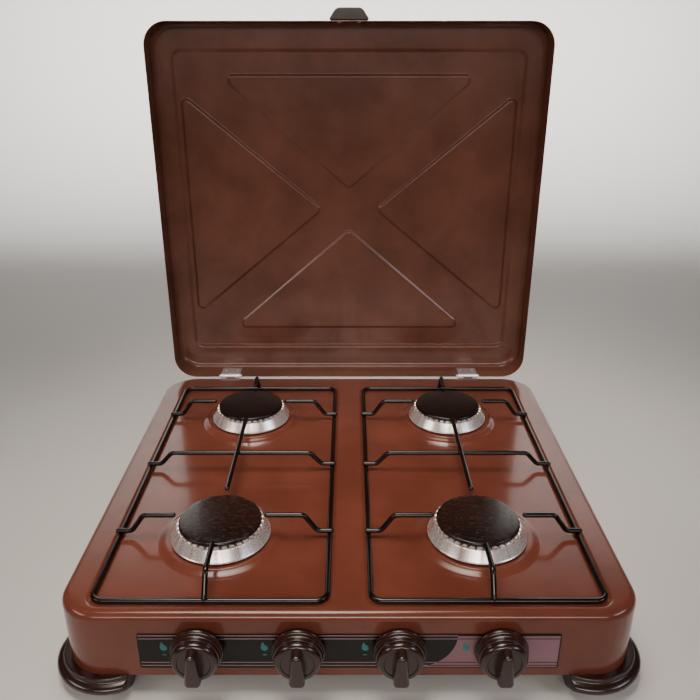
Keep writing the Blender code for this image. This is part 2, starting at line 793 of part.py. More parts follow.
def raise_teeth(head):
    """Draw up every second face of the crown as a tooth; the gaps are the flame ports."""
    bm = bmesh.new()
    bm.from_mesh(head.data)
    ring = [
        face
        for face in bm.faces
        if all(abs(vert.co.z - CROWN_HEIGHT) < MERGE_DISTANCE for vert in face.verts)
    ]
    ring.sort(key=lambda face: math.atan2(face.calc_center_median().y, face.calc_center_median().x))
    teeth = bmesh.ops.extrude_discrete_faces(bm, faces=ring[::2])["faces"]
    verts = list({vert for face in teeth for vert in face.verts})
    bmesh.ops.translate(bm, vec=(0, 0, TOOTH_HEIGHT), verts=verts)
    bmesh.ops.recalc_face_normals(bm, faces=bm.faces)
    bm.to_mesh(head.data)
    bm.free()


def build_burner_heads():
    first = None
    for burner, (x, y) in BURNERS.items():
        if first is None:
            first = turned(
                "burner_head_" + burner, head_profile(), 2 * TEETH, (x, y, HEAD_LEVEL), ALUMINIUM
            )
            raise_teeth(first)
        else:
            copy_of(first, "burner_head_" + burner, (x, y, HEAD_LEVEL))


def build_burner_caps():
    """Caps that rest on the teeth, with a plug below that centres them in the crown."""
    seat = HEAD_LEVEL + CROWN_HEIGHT + TOOTH_HEIGHT + CLEARANCE
    plug_radius = CROWN_INNER - CLEARANCE
    profile = [
        (0, CAP_EDGE + CAP_ROUND + CAP_DOME),
        (CAP_RADIUS - 2 * CAP_ROUND, CAP_EDGE + CAP_ROUND),
        (CAP_RADIUS, CAP_EDGE),
        (CAP_RADIUS, 0),
        (plug_radius, 0),
        (plug_radius, -CAP_PLUG_DEPTH),
        (0, -CAP_PLUG_DEPTH),
    ]
    first = None
    for burner, (x, y) in BURNERS.items():
        if first is None:
            first = turned("burner_cap_" + burner, profile, CAP_STEPS, (x, y, seat), BLACK_ENAMEL)
        else:
            copy_of(first, "burner_cap_" + burner, (x, y, seat))


def build_injector_holders():
    """A cup with four air windows below each burner hole, and the injector in its bottom."""
    top = COLLAR_LEVEL - SHEET - CLEARANCE
    bottom = PLATE_TOP + HOLDER_BOTTOM
    profile = [
        (HOLDER_RADIUS - HOLDER_WALL, top),
        (HOLDER_FLANGE, top),
        (HOLDER_FLANGE, top - HOLDER_WALL),
        (HOLDER_RADIUS, top - HOLDER_WALL),
        (HOLDER_RADIUS, bottom),
        (HOLDER_BORE, bottom),
        (HOLDER_BORE, bottom + HOLDER_WALL),
        (HOLDER_RADIUS - HOLDER_WALL, bottom + HOLDER_WALL),
    ]
    tip = PLATE_TOP + INJECTOR_TIP
    nut_top = bottom - CLEARANCE
    nut_bottom = PLATE_TOP + INJECTOR_BOTTOM
    barrel = HOLDER_BORE - CLEARANCE
    injector_profile = [
        (0, tip),
        (INJECTOR_TIP_RADIUS, tip),
        (barrel, tip - barrel),
        (barrel, nut_top),
        (INJECTOR_NUT, nut_top),
        (INJECTOR_NUT, nut_bottom),
        (0, nut_bottom),
    ]
    window_z = PLATE_TOP + WINDOW_MIDDLE
    reach = HOLDER_RADIUS + OVERRUN
    for burner, (x, y) in BURNERS.items():
        holder = turned("injector_holder_" + burner, profile, HIDDEN_STEPS, (x, y, 0), STEEL)
        for way, (half_x, half_y) in {
            "across": (reach, WINDOW_WIDTH / 2),
            "along": (WINDOW_WIDTH / 2, reach),
        }.items():
            window = box(
                f"window_{way}_{burner}",
                (x - half_x, y - half_y, window_z - WINDOW_HEIGHT / 2),
                (x + half_x, y + half_y, window_z + WINDOW_HEIGHT / 2),
            )
            boolean(holder, window, "DIFFERENCE")
        turned("injector_" + burner, injector_profile, SCREW_STEPS, (x, y, 0), BRASS)


def tap_bore_radius(depth):
    """The tapered seat's radius at a height along the tap's axis."""
    front = -(SHEET + CLEARANCE)
    share = (depth + TAP_SEAT_DEPTH) / (front + TAP_SEAT_DEPTH)
    return TAP_SEAT + (TAP_MOUTH - TAP_SEAT) * share


def build_taps():
    """Gas taps behind the front wall: body, tapered plug and spindle on each knob's axis."""
    front = -(SHEET + CLEARANCE)
    body_profile = [
        (0, -TAP_SEAT_DEPTH),
        (TAP_SEAT, -TAP_SEAT_DEPTH),
        (TAP_MOUTH, front),
        (TAP_NECK, front),
        (TAP_NECK, -TAP_NECK_LENGTH),
        (TAP_RADIUS, -TAP_NECK_LENGTH),
        (TAP_RADIUS, -TAP_LENGTH),
        (TAP_TAIL, -TAP_LENGTH),
        (TAP_TAIL, -TAP_TAIL_END),
        (0, -TAP_TAIL_END),
    ]
    plug_back = -TAP_SEAT_DEPTH + CLEARANCE
    plug_front = plug_back + CONE_PLUG_LENGTH
    socket_floor = plug_front - PLUG_SOCKET_DEPTH
    socket = SPINDLE_RADIUS + CLEARANCE
    plug_profile = [
        (0, socket_floor),
        (socket, socket_floor),
        (socket, plug_front),
        (tap_bore_radius(plug_front) - CLEARANCE, plug_front),
        (tap_bore_radius(plug_back) - CLEARANCE, plug_back),
        (0, plug_back),
    ]
    spindle_back = socket_floor + PUSH_TRAVEL + CLEARANCE
    spindle_profile = [
        (0, SPINDLE_FRONT),
        (SPINDLE_RADIUS, SPINDLE_FRONT),
        (SPINDLE_RADIUS, spindle_back),
        (0, spindle_back),
    ]
    for burner, x in TAP_X.items():
        place = (x, FRONT_Y, TAP_AXIS_Z)
        tap = turned("tap_body_" + burner, body_profile, TAP_STEPS, place, BRASS, FACING_FRONT)
        boss_low = RAIL_Z + RAIL_RADIUS + CLEARANCE
        boss_top = TAP_AXIS_Z - (TAP_RADIUS + TAP_SEAT) / 2
        boss = drill(
            "tap_boss_" + burner,
            TAP_BOSS,
            (x, RAIL_Y, (boss_top + boss_low) / 2),
            boss_top - boss_low,
            segments=SCREW_STEPS,
        )
        boolean(tap, boss, "UNION")
        turned("tap_plug_" + burner, plug_profile, TAP_STEPS, place, BRASS, FACING_FRONT)
        spindle = turned("tap_spindle_" + burner, spindle_profile, HIDDEN_STEPS, place, STEEL, FACING_FRONT)
        flat = box(
            "spindle_flat_" + burner,
            (x + SPINDLE_FLAT, FRONT_Y - SPINDLE_FRONT - OVERRUN, TAP_AXIS_Z - SPINDLE_RADIUS - OVERRUN),
            (x + SPINDLE_RADIUS + OVERRUN, FRONT_Y - KNOB_BACK, TAP_AXIS_Z + SPINDLE_RADIUS + OVERRUN),
        )
        boolean(spindle, flat, "DIFFERENCE")


def pear_outline(steps=GRIP_STEPS):
    """The grip seen from the front: two arcs of unlike radius and the straight lines that touch both."""
    lean = math.asin((GRIP_LOW_RADIUS - GRIP_TOP_RADIUS) / (GRIP_TOP_Y - GRIP_LOW_Y))
    points = []
    for radius, middle, start, sweep in (
        (GRIP_TOP_RADIUS, GRIP_TOP_Y, lean, math.pi - 2 * lean),
        (GRIP_LOW_RADIUS, GRIP_LOW_Y, math.pi - lean, math.pi + 2 * lean),
    ):
        for step in range(steps + 1):
            angle = start + sweep * step / steps
            points.append((radius * math.cos(angle), middle + radius * math.sin(angle)))
    return points


def round_rim(obj, height, width, segments=1):
    """Round the edge all round a prism's flat face at one height of its own frame."""
    bm = bmesh.new()
    bm.from_mesh(obj.data)
    bmesh.ops.dissolve_limit(bm, angle_limit=math.radians(1), verts=bm.verts, edges=bm.edges)
    bevel_edges(bm, edges_at(bm, height), width, segments)
    bmesh.ops.recalc_face_normals(bm, faces=bm.faces)
    bm.to_mesh(obj.data)
    bm.free()
    return obj


def build_knobs():
    """Moulded knobs: a flanged drum, a grooved ring and a pear-shaped grip, bored for the flatted spindle."""
    profile = [
        (0, KNOB_FACE),
        (KNOB_FACE_RADIUS, KNOB_FACE),
        (KNOB_RING, KNOB_RING_FRONT),
        (KNOB_GROOVE, KNOB_GROOVE_FRONT),
        (KNOB_DRUM, KNOB_DRUM_FRONT),
        (KNOB_FLANGE, KNOB_FLANGE_FRONT),
        (KNOB_FLANGE, KNOB_BACK),
        (0, KNOB_BACK),
    ]
    bore = SPINDLE_RADIUS + CLEARANCE
    bore_end = SPINDLE_FRONT + CLEARANCE
    bore_profile = [(0, bore_end), (bore, bore_end), (bore, KNOB_BACK - OVERRUN), (0, KNOB_BACK - OVERRUN)]
    grip_back = (KNOB_FACE + KNOB_GROOVE_FRONT) / 2
    grip_depth = KNOB_FRONT - grip_back
    for burner, x in TAP_X.items():
        place = (x, FRONT_Y, TAP_AXIS_Z)
        knob = turned("knob_" + burner, profile, KNOB_STEPS, place, BROWN_PLASTIC, FACING_FRONT)
        grip_place = (x, FRONT_Y - grip_back - grip_depth / 2, TAP_AXIS_Z)
        grip = prism("grip_" + burner, pear_outline(), grip_depth, grip_place, FACING_FRONT)
        round_rim(grip, grip_depth / 2, GRIP_EDGE)
        boolean(knob, grip, "UNION")
        cutter = turned("knob_bore_" + burner, bore_profile, HIDDEN_STEPS, place, rotation=FACING_FRONT)
        flat = box(
            "bore_flat_" + burner,
            (x + SPINDLE_FLAT + CLEARANCE, FRONT_Y - bore_end - OVERRUN, TAP_AXIS_Z - bore - OVERRUN),
            (x + bore + OVERRUN, FRONT_Y - KNOB_BACK + OVERRUN + OVERRUN, TAP_AXIS_Z + bore + OVERRUN),
        )
        boolean(cutter, flat, "DIFFERENCE")
        boolean(knob, cutter, "DIFFERENCE")


def build_gas_rail():
    """The rail that feeds the taps, bent back along the right side, with its brackets and the hose tail."""
    path = rounded_path(
        [
            (RAIL_LEFT_X, RAIL_Y, RAIL_Z),
            (RAIL_RIGHT_X, RAIL_Y, RAIL_Z),
            (RAIL_RIGHT_X, RAIL_BACK_Y, RAIL_Z),
        ],
        RAIL_BEND,
        segments=RAIL_BEND_SEGMENTS,
    )
    wire("gas_rail", path, RAIL_RADIUS, STEEL)
    wall = FRONT_Y + SHEET + CLEARANCE
    bracket_end = wall + BRACKET_LENGTH
    low = RAIL_Z - BRACKET_HEIGHT / 2
    high = RAIL_Z + BRACKET_HEIGHT / 2
    for side, sign in SIDES.items():
        x = sign * TAP_SPACING
        half = BRACKET_THICKNESS / 2
        corner = (x - half, wall, low)
        bracket = box("rail_bracket_" + side, corner, (x + half, bracket_end, high), STEEL)
        tab = box("bracket_tab_" + side, corner, (x + BRACKET_TAB, wall + BRACKET_THICKNESS, high))
        boolean(bracket, tab, "UNION")
        bore = drill(
            "bracket_bore_" + side, RAIL_RADIUS + CLEARANCE, (x, RAIL_Y, RAIL_Z), BRACKET_TAB, ALONG_X
        )
        boolean(bracket, bore, "DIFFERENCE")
    build_hose_tail()


def build_hose_tail():
    """The barbed tail that a hose is pushed on, its neck through the back wall."""
    start = RAIL_BACK_Y + CLEARANCE
    nut_end = BACK_Y - SHEET - CLEARANCE - start
    hex_start = BACK_Y + CLEARANCE - start
    hex_end = hex_start + TAIL_HEX_LENGTH
    tip = hex_end + (TAIL_BARBS + 1) * TAIL_BARB_PITCH
    profile = [(TAIL_BORE, tip), (TAIL_BARB_ROOT, tip)]
    for barb in range(TAIL_BARBS):
        edge = tip - (barb + 1) * TAIL_BARB_PITCH
        profile += [(TAIL_BARB, edge), (TAIL_BARB_ROOT, edge)]
    profile += [
        (TAIL_BARB_ROOT, hex_end),
        (TAIL_HEX, hex_end),
        (TAIL_HEX, hex_start),
        (TAIL_NECK, hex_start),
        (TAIL_NECK, nut_end),
        (TAIL_NUT, nut_end),
        (TAIL_NUT, 0),
        (TAIL_BORE, 0),
    ]
    turned("gas_inlet_tail", profile, SCREW_STEPS, (RAIL_RIGHT_X, start, RAIL_Z), BRASS, FACING_BACK)


def build_feed_tubes():
    """The tube from each tap to its burner's injector."""
    start_y = FRONT_Y + TAP_TAIL_END + CLEARANCE
    low_z = PLATE_TOP - FEED_DROP
    for burner, (burner_x, burner_y) in BURNERS.items():
        x = TAP_X[burner]
        level_y = start_y + FEED_LEVEL_RUN
        slope_y = level_y + FEED_SLOPE_RUN
        end_y = burner_y - INJECTOR_NUT - CLEARANCE
        turn_y = slope_y + (end_y - slope_y) * FEED_CROSS_SHARE
        arrive_y = end_y - (end_y - slope_y) * FEED_CROSS_SHARE / 2
        path = rounded_path(
            [
                (x, start_y, TAP_AXIS_Z),
                (x, level_y, TAP_AXIS_Z),
                (x, slope_y, low_z),
                (x, turn_y, low_z),
                (burner_x, arrive_y, low_z),
                (burner_x, end_y, low_z),
            ],
            FEED_BEND,
        )
        wire("feed_tube_" + burner, path, FEED_RADIUS, TUBE, resolution=HIDDEN_RESOLUTION)


def raised_wire(start, along, low_run, rise_run, end_distance, low_z, high_z):
    """The path of a wire that starts low outside a frame bar, rises inside it and runs level to its tip."""
    start = Vector(start)
    along = Vector(along)
    points = [(0, low_z), (low_run, low_z), (low_run + rise_run, high_z), (end_distance, high_z)]
    if not low_run:
        points = [(0, low_z), (FINGER_STUB, low_z), (FINGER_STUB + rise_run, high_z), (end_distance, high_z)]
    corners = []
    for distance, height in points:
        place = start + along * distance
        corners.append((place.x, place.y, height))
    return rounded_path(corners, FINGER_BEND)


def build_pan_support(side, sign):
    """One wire grid: a frame on the plate, a raised crossbar and long bar, and six fingers."""
    inner_x = sign * SUPPORT_INNER_X
    outer_x = sign * SUPPORT_OUTER_X
    burner_x = sign * BURNER_X
    low_z = FRAME_WIRE_Z + 2 * WIRE - WELD_SINK
    high_z = PLATE_TOP + POT_HEIGHT - WIRE
    crossbar_z = high_z - 2 * WIRE + WELD_SINK
    frame_path = rounded_path(
        [
            (inner_x, SUPPORT_FRONT_Y, FRAME_WIRE_Z),
            (outer_x, SUPPORT_FRONT_Y, FRAME_WIRE_Z),
            (outer_x, SUPPORT_BACK_Y, FRAME_WIRE_Z),
            (inner_x, SUPPORT_BACK_Y, FRAME_WIRE_Z),
        ],
        SUPPORT_CORNER,
        segments=FRAME_CORNER_SEGMENTS,
        closed=True,
    )
    support = wire("pan_support_" + side, frame_path, WIRE, BLACK_ENAMEL, closed=True)
    rods = []
    low_run = FINGER_STUB + FINGER_LOW_RUN
    for name, (x, y) in BURNERS.items():
        if x * sign < 0:
            continue
        for edge_x in (inner_x, outer_x):
            way = 1 if edge_x < x else -1
            start = (edge_x - way * FINGER_STUB, y, 0)
            reach = abs(x - edge_x) + FINGER_STUB - FINGER_REACH
            path = raised_wire(start, (way, 0, 0), low_run, FINGER_RISE_RUN, reach, low_z, high_z)
            rods.append((f"finger_{name}_{'in' if edge_x == inner_x else 'out'}", path))
        edge_y = SUPPORT_FRONT_Y if y < 0 else SUPPORT_BACK_Y
        way = 1 if y < 0 else -1
        start = (x, edge_y - way * FINGER_STUB, 0)
        reach = abs(y - edge_y) + FINGER_STUB - FINGER_REACH
        path = raised_wire(start, (0, way, 0), 0, FINGER_RISE_RUN, reach, low_z, high_z)
        rods.append((f"finger_{name}_end", path))
    reach = SUPPORT_OUTER_X - SUPPORT_INNER_X + 2 * FINGER_STUB
    way = 1 if inner_x < outer_x else -1
    start_x = inner_x - way * FINGER_STUB
    start = (start_x, CROSSBAR_Y, 0)
    half = raised_wire(start, (way, 0, 0), low_run, FINGER_RISE_RUN, reach / 2, low_z, crossbar_z)
    far_x = 2 * start_x + way * reach
    mirrored = [Vector((far_x - place.x, place.y, place.z)) for place in reversed(half[:-1])]
    rods.append((f"crossbar_{side}", half[:-1] + mirrored))
    bar_end = FINGER_REACH
    long_bar = [
        Vector((burner_x, FRONT_BURNER_Y + bar_end, high_z)),
        Vector((burner_x, BACK_BURNER_Y - bar_end, high_z)),
    ]
    rods.append((f"long_bar_{side}", long_bar))
    for name, path in rods:
        boolean(support, wire(f"{name}_rod", path, WIRE), "UNION")
    return support


def lid_form(name, inset, material=None):
    """The lid's outer block or its cavity, in the closed place, measured from the hinge axis."""
    rim_z = PLATE_TOP + LID_RIM_GAP - HINGE_Z
    middle_y = SHEET - LID_LENGTH / 2
    top_z = rim_z + LID_DEPTH - inset
    bottom_z = rim_z - (OVERRUN if inset else 0)
    form = rounded_block(
        name,
        (LID_WIDTH - 2 * inset, LID_LENGTH - 2 * inset, top_z - bottom_z),
        LID_CORNER - inset,
        LID_EDGE - inset,
        (0, middle_y, (top_z + bottom_z) / 2),
        material,
    )
    field_height = FIELD_RISE + LID_DEPTH / 2
    field = rounded_block(
        name + "_field",
        (FIELD_WIDTH - 2 * inset, FIELD_LENGTH - 2 * inset, field_height),
        FIELD_CORNER - inset,
        FIELD_RISE - inset,
        (0, middle_y, top_z + FIELD_RISE - field_height / 2),
    )
    boolean(form, field, "UNION")
    floor_z = top_z + FIELD_RISE - TRIANGLE_SINK
    for index, outline in enumerate(triangle_outlines(inset)):
        thickness = TRIANGLE_SINK + OVERRUN
        cutter = prism(
            f"{name}_triangle_{index}", outline, thickness, (0, middle_y, floor_z + thickness / 2)
        )
        boolean(form, cutter, "DIFFERENCE")
    return form


def widened(corners, distance):
    """A convex outline whose sides are all moved outwards by one distance."""
    middle = sum(corners, Vector((0, 0, 0))) / len(corners)
    lines = []
    for first, second in zip(corners, corners[1:] + corners[:1]):
        along = (second - first).normalized()
        out = Vector((along.y, -along.x, 0))
        if out.dot(first - middle) < 0:
            out.negate()
        lines.append((first + out * distance, second + out * distance))
    return [
        Vector((*geometry.intersect_line_line(*lines[index - 1], *lines[index])[0].xy, 0))
        for index in range(len(lines))
    ]


def triangle_outlines(margin):
    """The four pressed triangles round the lid's middle, each with its points rounded."""
    end = [
        (-END_TRIANGLE_HALF, END_TRIANGLE_BASE),
        (-END_TRIANGLE_HALF, END_TRIANGLE_BASE - END_TRIANGLE_SIDE),
        (0, END_TRIANGLE_APEX),
        (END_TRIANGLE_HALF, END_TRIANGLE_BASE - END_TRIANGLE_SIDE),
        (END_TRIANGLE_HALF, END_TRIANGLE_BASE),
    ]
    side = [
        (SIDE_TRIANGLE_BASE, SIDE_TRIANGLE_HALF),
        (SIDE_TRIANGLE_BASE, -SIDE_TRIANGLE_HALF),
        (SIDE_TRIANGLE_APEX, 0),
    ]
    outlines = []
    for shape in (end, side):
        for sign in (1, -1):
            corners = widened([Vector((sign * x, sign * y, 0)) for x, y in shape], margin)
            outlines.append(rounded_path(corners, TRIANGLE_CORNER + margin, closed=True))
    return outlines


def build_lid():
    """The lid with its handle and hinge leaves, modelled closed and then swung open about the hinge axis."""
    before = set(bpy.data.objects)
    lid = lid_form("lid", 0, LID_ENAMEL)
    boolean(lid, lid_form("lid_cavity", SHEET), "DIFFERENCE")
    rim_z = PLATE_TOP + LID_RIM_GAP - HINGE_Z
    notch_half = LEAF_WIDTH / 2 + KNUCKLE_RADIUS
    for side, sign in SIDES.items():
        x = sign * HINGE_X
        notch = box(
            "skirt_notch_" + side,
            (x - notch_half, -OVERRUN, rim_z - OVERRUN),
            (x + notch_half, SHEET + OVERRUN, rim_z + SKIRT_NOTCH),
        )
        boolean(lid, notch, "DIFFERENCE")
        build_lid_leaf(side, x)
    smooth(lid)
    base_y = SHEET - LID_LENGTH - CLEARANCE
    outline = rounded_path(
        [
            (-HANDLE_BASE_HALF, 0, 0),
            (HANDLE_BASE_HALF, 0, 0),
            (HANDLE_TIP_HALF, -HANDLE_REACH, 0),
            (-HANDLE_TIP_HALF, -HANDLE_REACH, 0),
        ],
        HANDLE_ROUND,
        closed=True,
    )
    handle_z = rim_z + HANDLE_HEIGHT + HANDLE_THICKNESS / 2
    handle = prism("lid_handle", outline, HANDLE_THICKNESS, (0, base_y, handle_z))
    for height in (HANDLE_THICKNESS / 2, -HANDLE_THICKNESS / 2):
        round_rim(handle, height, HANDLE_EDGE)
    make_part(handle, BROWN_PLASTIC)
    hinge = bpy.data.objects.new("lid_hinge_axis", None)
    PARTS.objects.link(hinge)
    hinge.location = (0, HINGE_Y, HINGE_Z)
    hinge.rotation_euler = (math.radians(-90), 0, 0)
    for obj in set(bpy.data.objects) - before - {hinge}:
        obj.parent = hinge


def knuckle(name, start, end, centre):
    """A hinge knuckle along X between two places on the leaf's width, still without its bore."""
    place = Vector(centre) + Vector(((start + end) / 2, 0, 0))
    return drill(name, KNUCKLE_RADIUS, place, end - start, ALONG_X)


def build_lid_leaf(side, x):
    """The leaf inside the lid's skirt: a plate with two knuckles, measured from the hinge axis."""
    half = LEAF_WIDTH / 2
    gap_half = BODY_KNUCKLE / 2 + CLEARANCE
    back = -CLEARANCE
    low = (x - half, back - LEAF_THICKNESS, 0)
    leaf = box("lid_leaf_" + side, low, (x + half, back, LEAF_LENGTH), STEEL)
    for end, sign in (("left", -1), ("right", 1)):
        places = sorted((sign * gap_half, sign * half))
        ring = knuckle(f"lid_knuckle_{side}_{end}", places[0], places[1], (x, 0, 0))
        boolean(leaf, ring, "UNION")
    gap = box(
        "leaf_gap_" + side,
        (x - gap_half, -KNUCKLE_RADIUS - OVERRUN, -KNUCKLE_RADIUS - OVERRUN),
        (x + gap_half, KNUCKLE_RADIUS + OVERRUN, KNUCKLE_RADIUS + 2 * CLEARANCE),
    )
    boolean(leaf, gap, "DIFFERENCE")
    bore = drill("lid_leaf_bore_" + side, PIN_RADIUS + CLEARANCE, (x, 0, 0), 2 * LEAF_WIDTH, ALONG_X)
    boolean(leaf, bore, "DIFFERENCE")


def build_body_leaves():
    """The leaves behind the body's back wall, each with one knuckle, and the pins."""
    face = BACK_Y + CLEARANCE
    for side, sign in SIDES.items():
        x = sign * HINGE_X
        half = LEAF_WIDTH / 2
        neck_half = BODY_KNUCKLE / 2
        shoulder = HINGE_Z - BODY_LEAF_NECK
        foot = HINGE_Z - BODY_LEAF_LENGTH
        high = (x + half, face + LEAF_THICKNESS, shoulder)
        leaf = box("body_leaf_" + side, (x - half, face, foot), high, STEEL)
        neck = box(
            "leaf_neck_" + side,
            (x - neck_half, face, shoulder - OVERRUN),
            (x + neck_half, face + LEAF_THICKNESS, HINGE_Z),
        )
        ring = knuckle("body_knuckle_" + side, -neck_half, neck_half, (x, HINGE_Y, HINGE_Z))
        boolean(leaf, neck, "UNION")
        boolean(leaf, ring, "UNION")
        bore = drill(
            "body_leaf_bore_" + side, PIN_RADIUS + CLEARANCE, (x, HINGE_Y, HINGE_Z), 2 * LEAF_WIDTH, ALONG_X
        )
        boolean(leaf, bore, "DIFFERENCE")
        pin_half = half + PIN_OVERHANG
        head_start = half + CLEARANCE
        profile = [
            (0, head_start + PIN_OVERHANG),
            (KNUCKLE_RADIUS - PIN_OVERHANG, head_start + PIN_OVERHANG),
            (KNUCKLE_RADIUS - PIN_OVERHANG, head_start),
            (PIN_RADIUS, head_start),
            (PIN_RADIUS, -pin_half),
            (0, -pin_half),
        ]
        turned("hinge_pin_" + side, profile, SCREW_STEPS, (x, HINGE_Y, HINGE_Z), STEEL, ALONG_X)


build_body()
build_strip()
build_feet()
build_burner_heads()
build_burner_caps()
build_injector_holders()
build_taps()
build_knobs()
build_gas_rail()
build_feed_tubes()
for support_side, support_sign in SIDES.items():
    build_pan_support(support_side, support_sign)
build_lid()
build_body_leaves()
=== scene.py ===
"""Looks of a four-burner table-top gas cooker with a hinged lid.

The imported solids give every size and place. Each class below builds the finer pieces of one sub-assembly over
them, gives them their finishes and lets them ride on the solids' bodies.
"""

from __future__ import annotations

import json
import logging
import math
from dataclasses import dataclass
from enum import Enum
from typing import Any, Iterable, Sequence

import bmesh
import bpy
from bmesh.types import BMEdge, BMesh, BMFace, BMVert
from mathutils import Matrix, Vector

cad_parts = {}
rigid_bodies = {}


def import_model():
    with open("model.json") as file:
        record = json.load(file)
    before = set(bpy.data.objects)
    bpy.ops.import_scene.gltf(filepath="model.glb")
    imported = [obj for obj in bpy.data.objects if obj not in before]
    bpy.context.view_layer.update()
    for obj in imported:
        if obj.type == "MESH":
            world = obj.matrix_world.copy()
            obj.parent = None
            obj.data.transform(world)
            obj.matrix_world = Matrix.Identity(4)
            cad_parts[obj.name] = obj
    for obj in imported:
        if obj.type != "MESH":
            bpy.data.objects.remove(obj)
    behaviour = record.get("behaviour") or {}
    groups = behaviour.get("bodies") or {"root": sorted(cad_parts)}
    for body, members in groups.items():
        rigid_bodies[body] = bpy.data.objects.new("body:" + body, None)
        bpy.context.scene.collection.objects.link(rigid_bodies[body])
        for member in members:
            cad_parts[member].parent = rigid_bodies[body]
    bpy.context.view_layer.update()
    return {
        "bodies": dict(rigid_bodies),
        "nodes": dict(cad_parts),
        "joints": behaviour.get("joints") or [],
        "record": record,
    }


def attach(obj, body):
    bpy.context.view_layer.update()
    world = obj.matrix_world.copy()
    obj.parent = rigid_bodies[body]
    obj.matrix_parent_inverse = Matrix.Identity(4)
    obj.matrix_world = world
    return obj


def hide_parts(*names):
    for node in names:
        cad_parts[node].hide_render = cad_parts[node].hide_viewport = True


Tree = bpy.types.NodeTree
Shader = bpy.types.Node
Socket = bpy.types.NodeSocket

LOG = logging.getLogger("gas_cooker")
MM = 0.001
PLATE_TOP = 96.0 * MM
SHEET = 1.0 * MM
CLEARANCE = 0.3 * MM

# Turns for a shape that was drawn looking up.
FACING_FRONT = Matrix.Rotation(math.radians(90), 4, "X")
FACING_BACK = Matrix.Rotation(math.radians(-90), 4, "X")

# How close points are welded, and how close a face's place and direction have to be to be picked.
WELD_DISTANCE = 0.002 * MM
LID_WELD_DISTANCE = 0.01 * MM
SAME_PLANE = 0.1 * MM
FLAT_NORMAL = 0.99
WALL_NORMAL = 0.999

HOLE_FACETS = 32
FLAT_FACE_WEIGHT = 80

# The numbers of the mix node's two colour inputs and of its colour output.
MIX_FIRST, MIX_SECOND, MIX_COLOUR = 6, 7, 2


class Side(Enum):
    """The two halves of the cooker, with their sign along X."""

    LEFT = -1
    RIGHT = 1

    @property
    def word(self) -> str:
        """The side's name as the nodes spell it."""
        return self.name.lower()


class Burner(Enum):
    """The four burners: the middle of each and the place of its knob along X, in millimetres."""

    FRONT_LEFT = (-137.3, -140.0, -143.25)
    BACK_LEFT = (-137.3, 125.0, -47.75)
    BACK_RIGHT = (137.3, 125.0, 47.75)
    FRONT_RIGHT = (137.3, -140.0, 143.25)

    @property
    def word(self) -> str:
        """The burner's name as the nodes spell it."""
        return self.name.lower()

    @property
    def middle(self) -> Vector:
        """The burner's upright axis, on the ground."""
        return Vector((self.value[0], self.value[1], 0)) * MM

    @property
    def knob_x(self) -> float:
        """The place of the burner's knob along X."""
        return self.value[2] * MM

    @property
    def side(self) -> Side:
        """The half that the burner stands in."""
        return Side.LEFT if self.value[0] < 0 else Side.RIGHT


def linear(colour: str, alpha: float = 1.0) -> tuple[float, float, float, float]:
    """Turn an sRGB hex colour into linear values.

    Args:
        colour: Six hex digits after a hash sign.
        alpha: The alpha value that goes with it.

    Returns:
        Red, green, blue and alpha.
    """
    channels = [int(colour[place : place + 2], 16) / 255 for place in (1, 3, 5)]
    red, green, blue = [
        channel / 12.92 if channel <= 0.04045 else ((channel + 0.055) / 1.055) ** 2.4 for channel in channels
    ]
    return (red, green, blue, alpha)


def add_node(
    tree: bpy.types.NodeTree, kind: str, sockets: dict[str | int, Any] | None = None, **settings: Any
) -> bpy.types.Node:
    """Add one shader node.

    Args:
        tree: The node tree that gets it.
        kind: The node's type name.
        sockets: For each input, by name or number, its value or the output that it is linked to.
        **settings: The node's own properties.

    Returns:
        The new node.
    """
    node = tree.nodes.new(kind)
    for name, value in settings.items():
        setattr(node, name, value)
    for key, value in (sockets or {}).items():
        if isinstance(value, bpy.types.NodeSocket):
            tree.links.new(value, node.inputs[key])
        else:
            node.inputs[key].default_value = value
    return node


def noise(
    tree: Tree, place: Socket, size: float, detail: float, share: float = 0.5, warp: float = 0.0
) -> Socket:
    """Add a noise texture.

    Args:
        tree: The node tree that gets it.
        place: The coordinates that it is laid out in.
        size: The size of its largest features.
        detail: How many finer layers it has.
        share: How strong each finer layer is beside the one before.
        warp: How much it is distorted.

    Returns:
        Its value, about 0.5 in the middle.
    """
    sockets = {"Vector": place, "Scale": 1 / size, "Detail": detail, "Roughness": share, "Distortion": warp}
    return add_node(tree, "ShaderNodeTexNoise", sockets).outputs["Fac"]


def ranged(
    tree: Tree, value: Socket, low: float, high: float, to_low: float = 0.0, to_high: float = 1.0
) -> Socket:
    """Stretch a range of values to another, and hold what lies past its ends.

    Args:
        tree: The node tree that gets the node.
        value: The value.
        low: The low end of the range.
        high: The high end of the range.
        to_low: What the low end becomes.
        to_high: What the high end becomes.

    Returns:
        The new value.
    """
    sockets = {"Value": value, "From Min": low, "From Max": high, "To Min": to_low, "To Max": to_high}
    return add_node(tree, "ShaderNodeMapRange", sockets).outputs["Result"]


def blend(tree: Tree, factor: Socket, first: Any, second: Any) -> Socket:
    """Mix two colours.

    Args:
        tree: The node tree that gets the node.
        factor: How much of the second colour there is.
        first: The first colour, as linear values or an output.
        second: The second colour, in the same way.

    Returns:
        The mixed colour.
    """
    sockets = {"Factor": factor, MIX_FIRST: first, MIX_SECOND: second}
    return add_node(tree, "ShaderNodeMix", sockets, data_type="RGBA").outputs[MIX_COLOUR]


def feed(tree: Tree, shader: Shader, colour: Socket, rough: Socket) -> None:
    """Link a colour and a roughness to a shader.

    Args:
        tree: The node tree.
        shader: Its Principled BSDF.
        colour: The colour.
        rough: The roughness.
    """
    tree.links.new(colour, shader.inputs["Base Color"])
    tree.links.new(rough, shader.inputs["Roughness"])


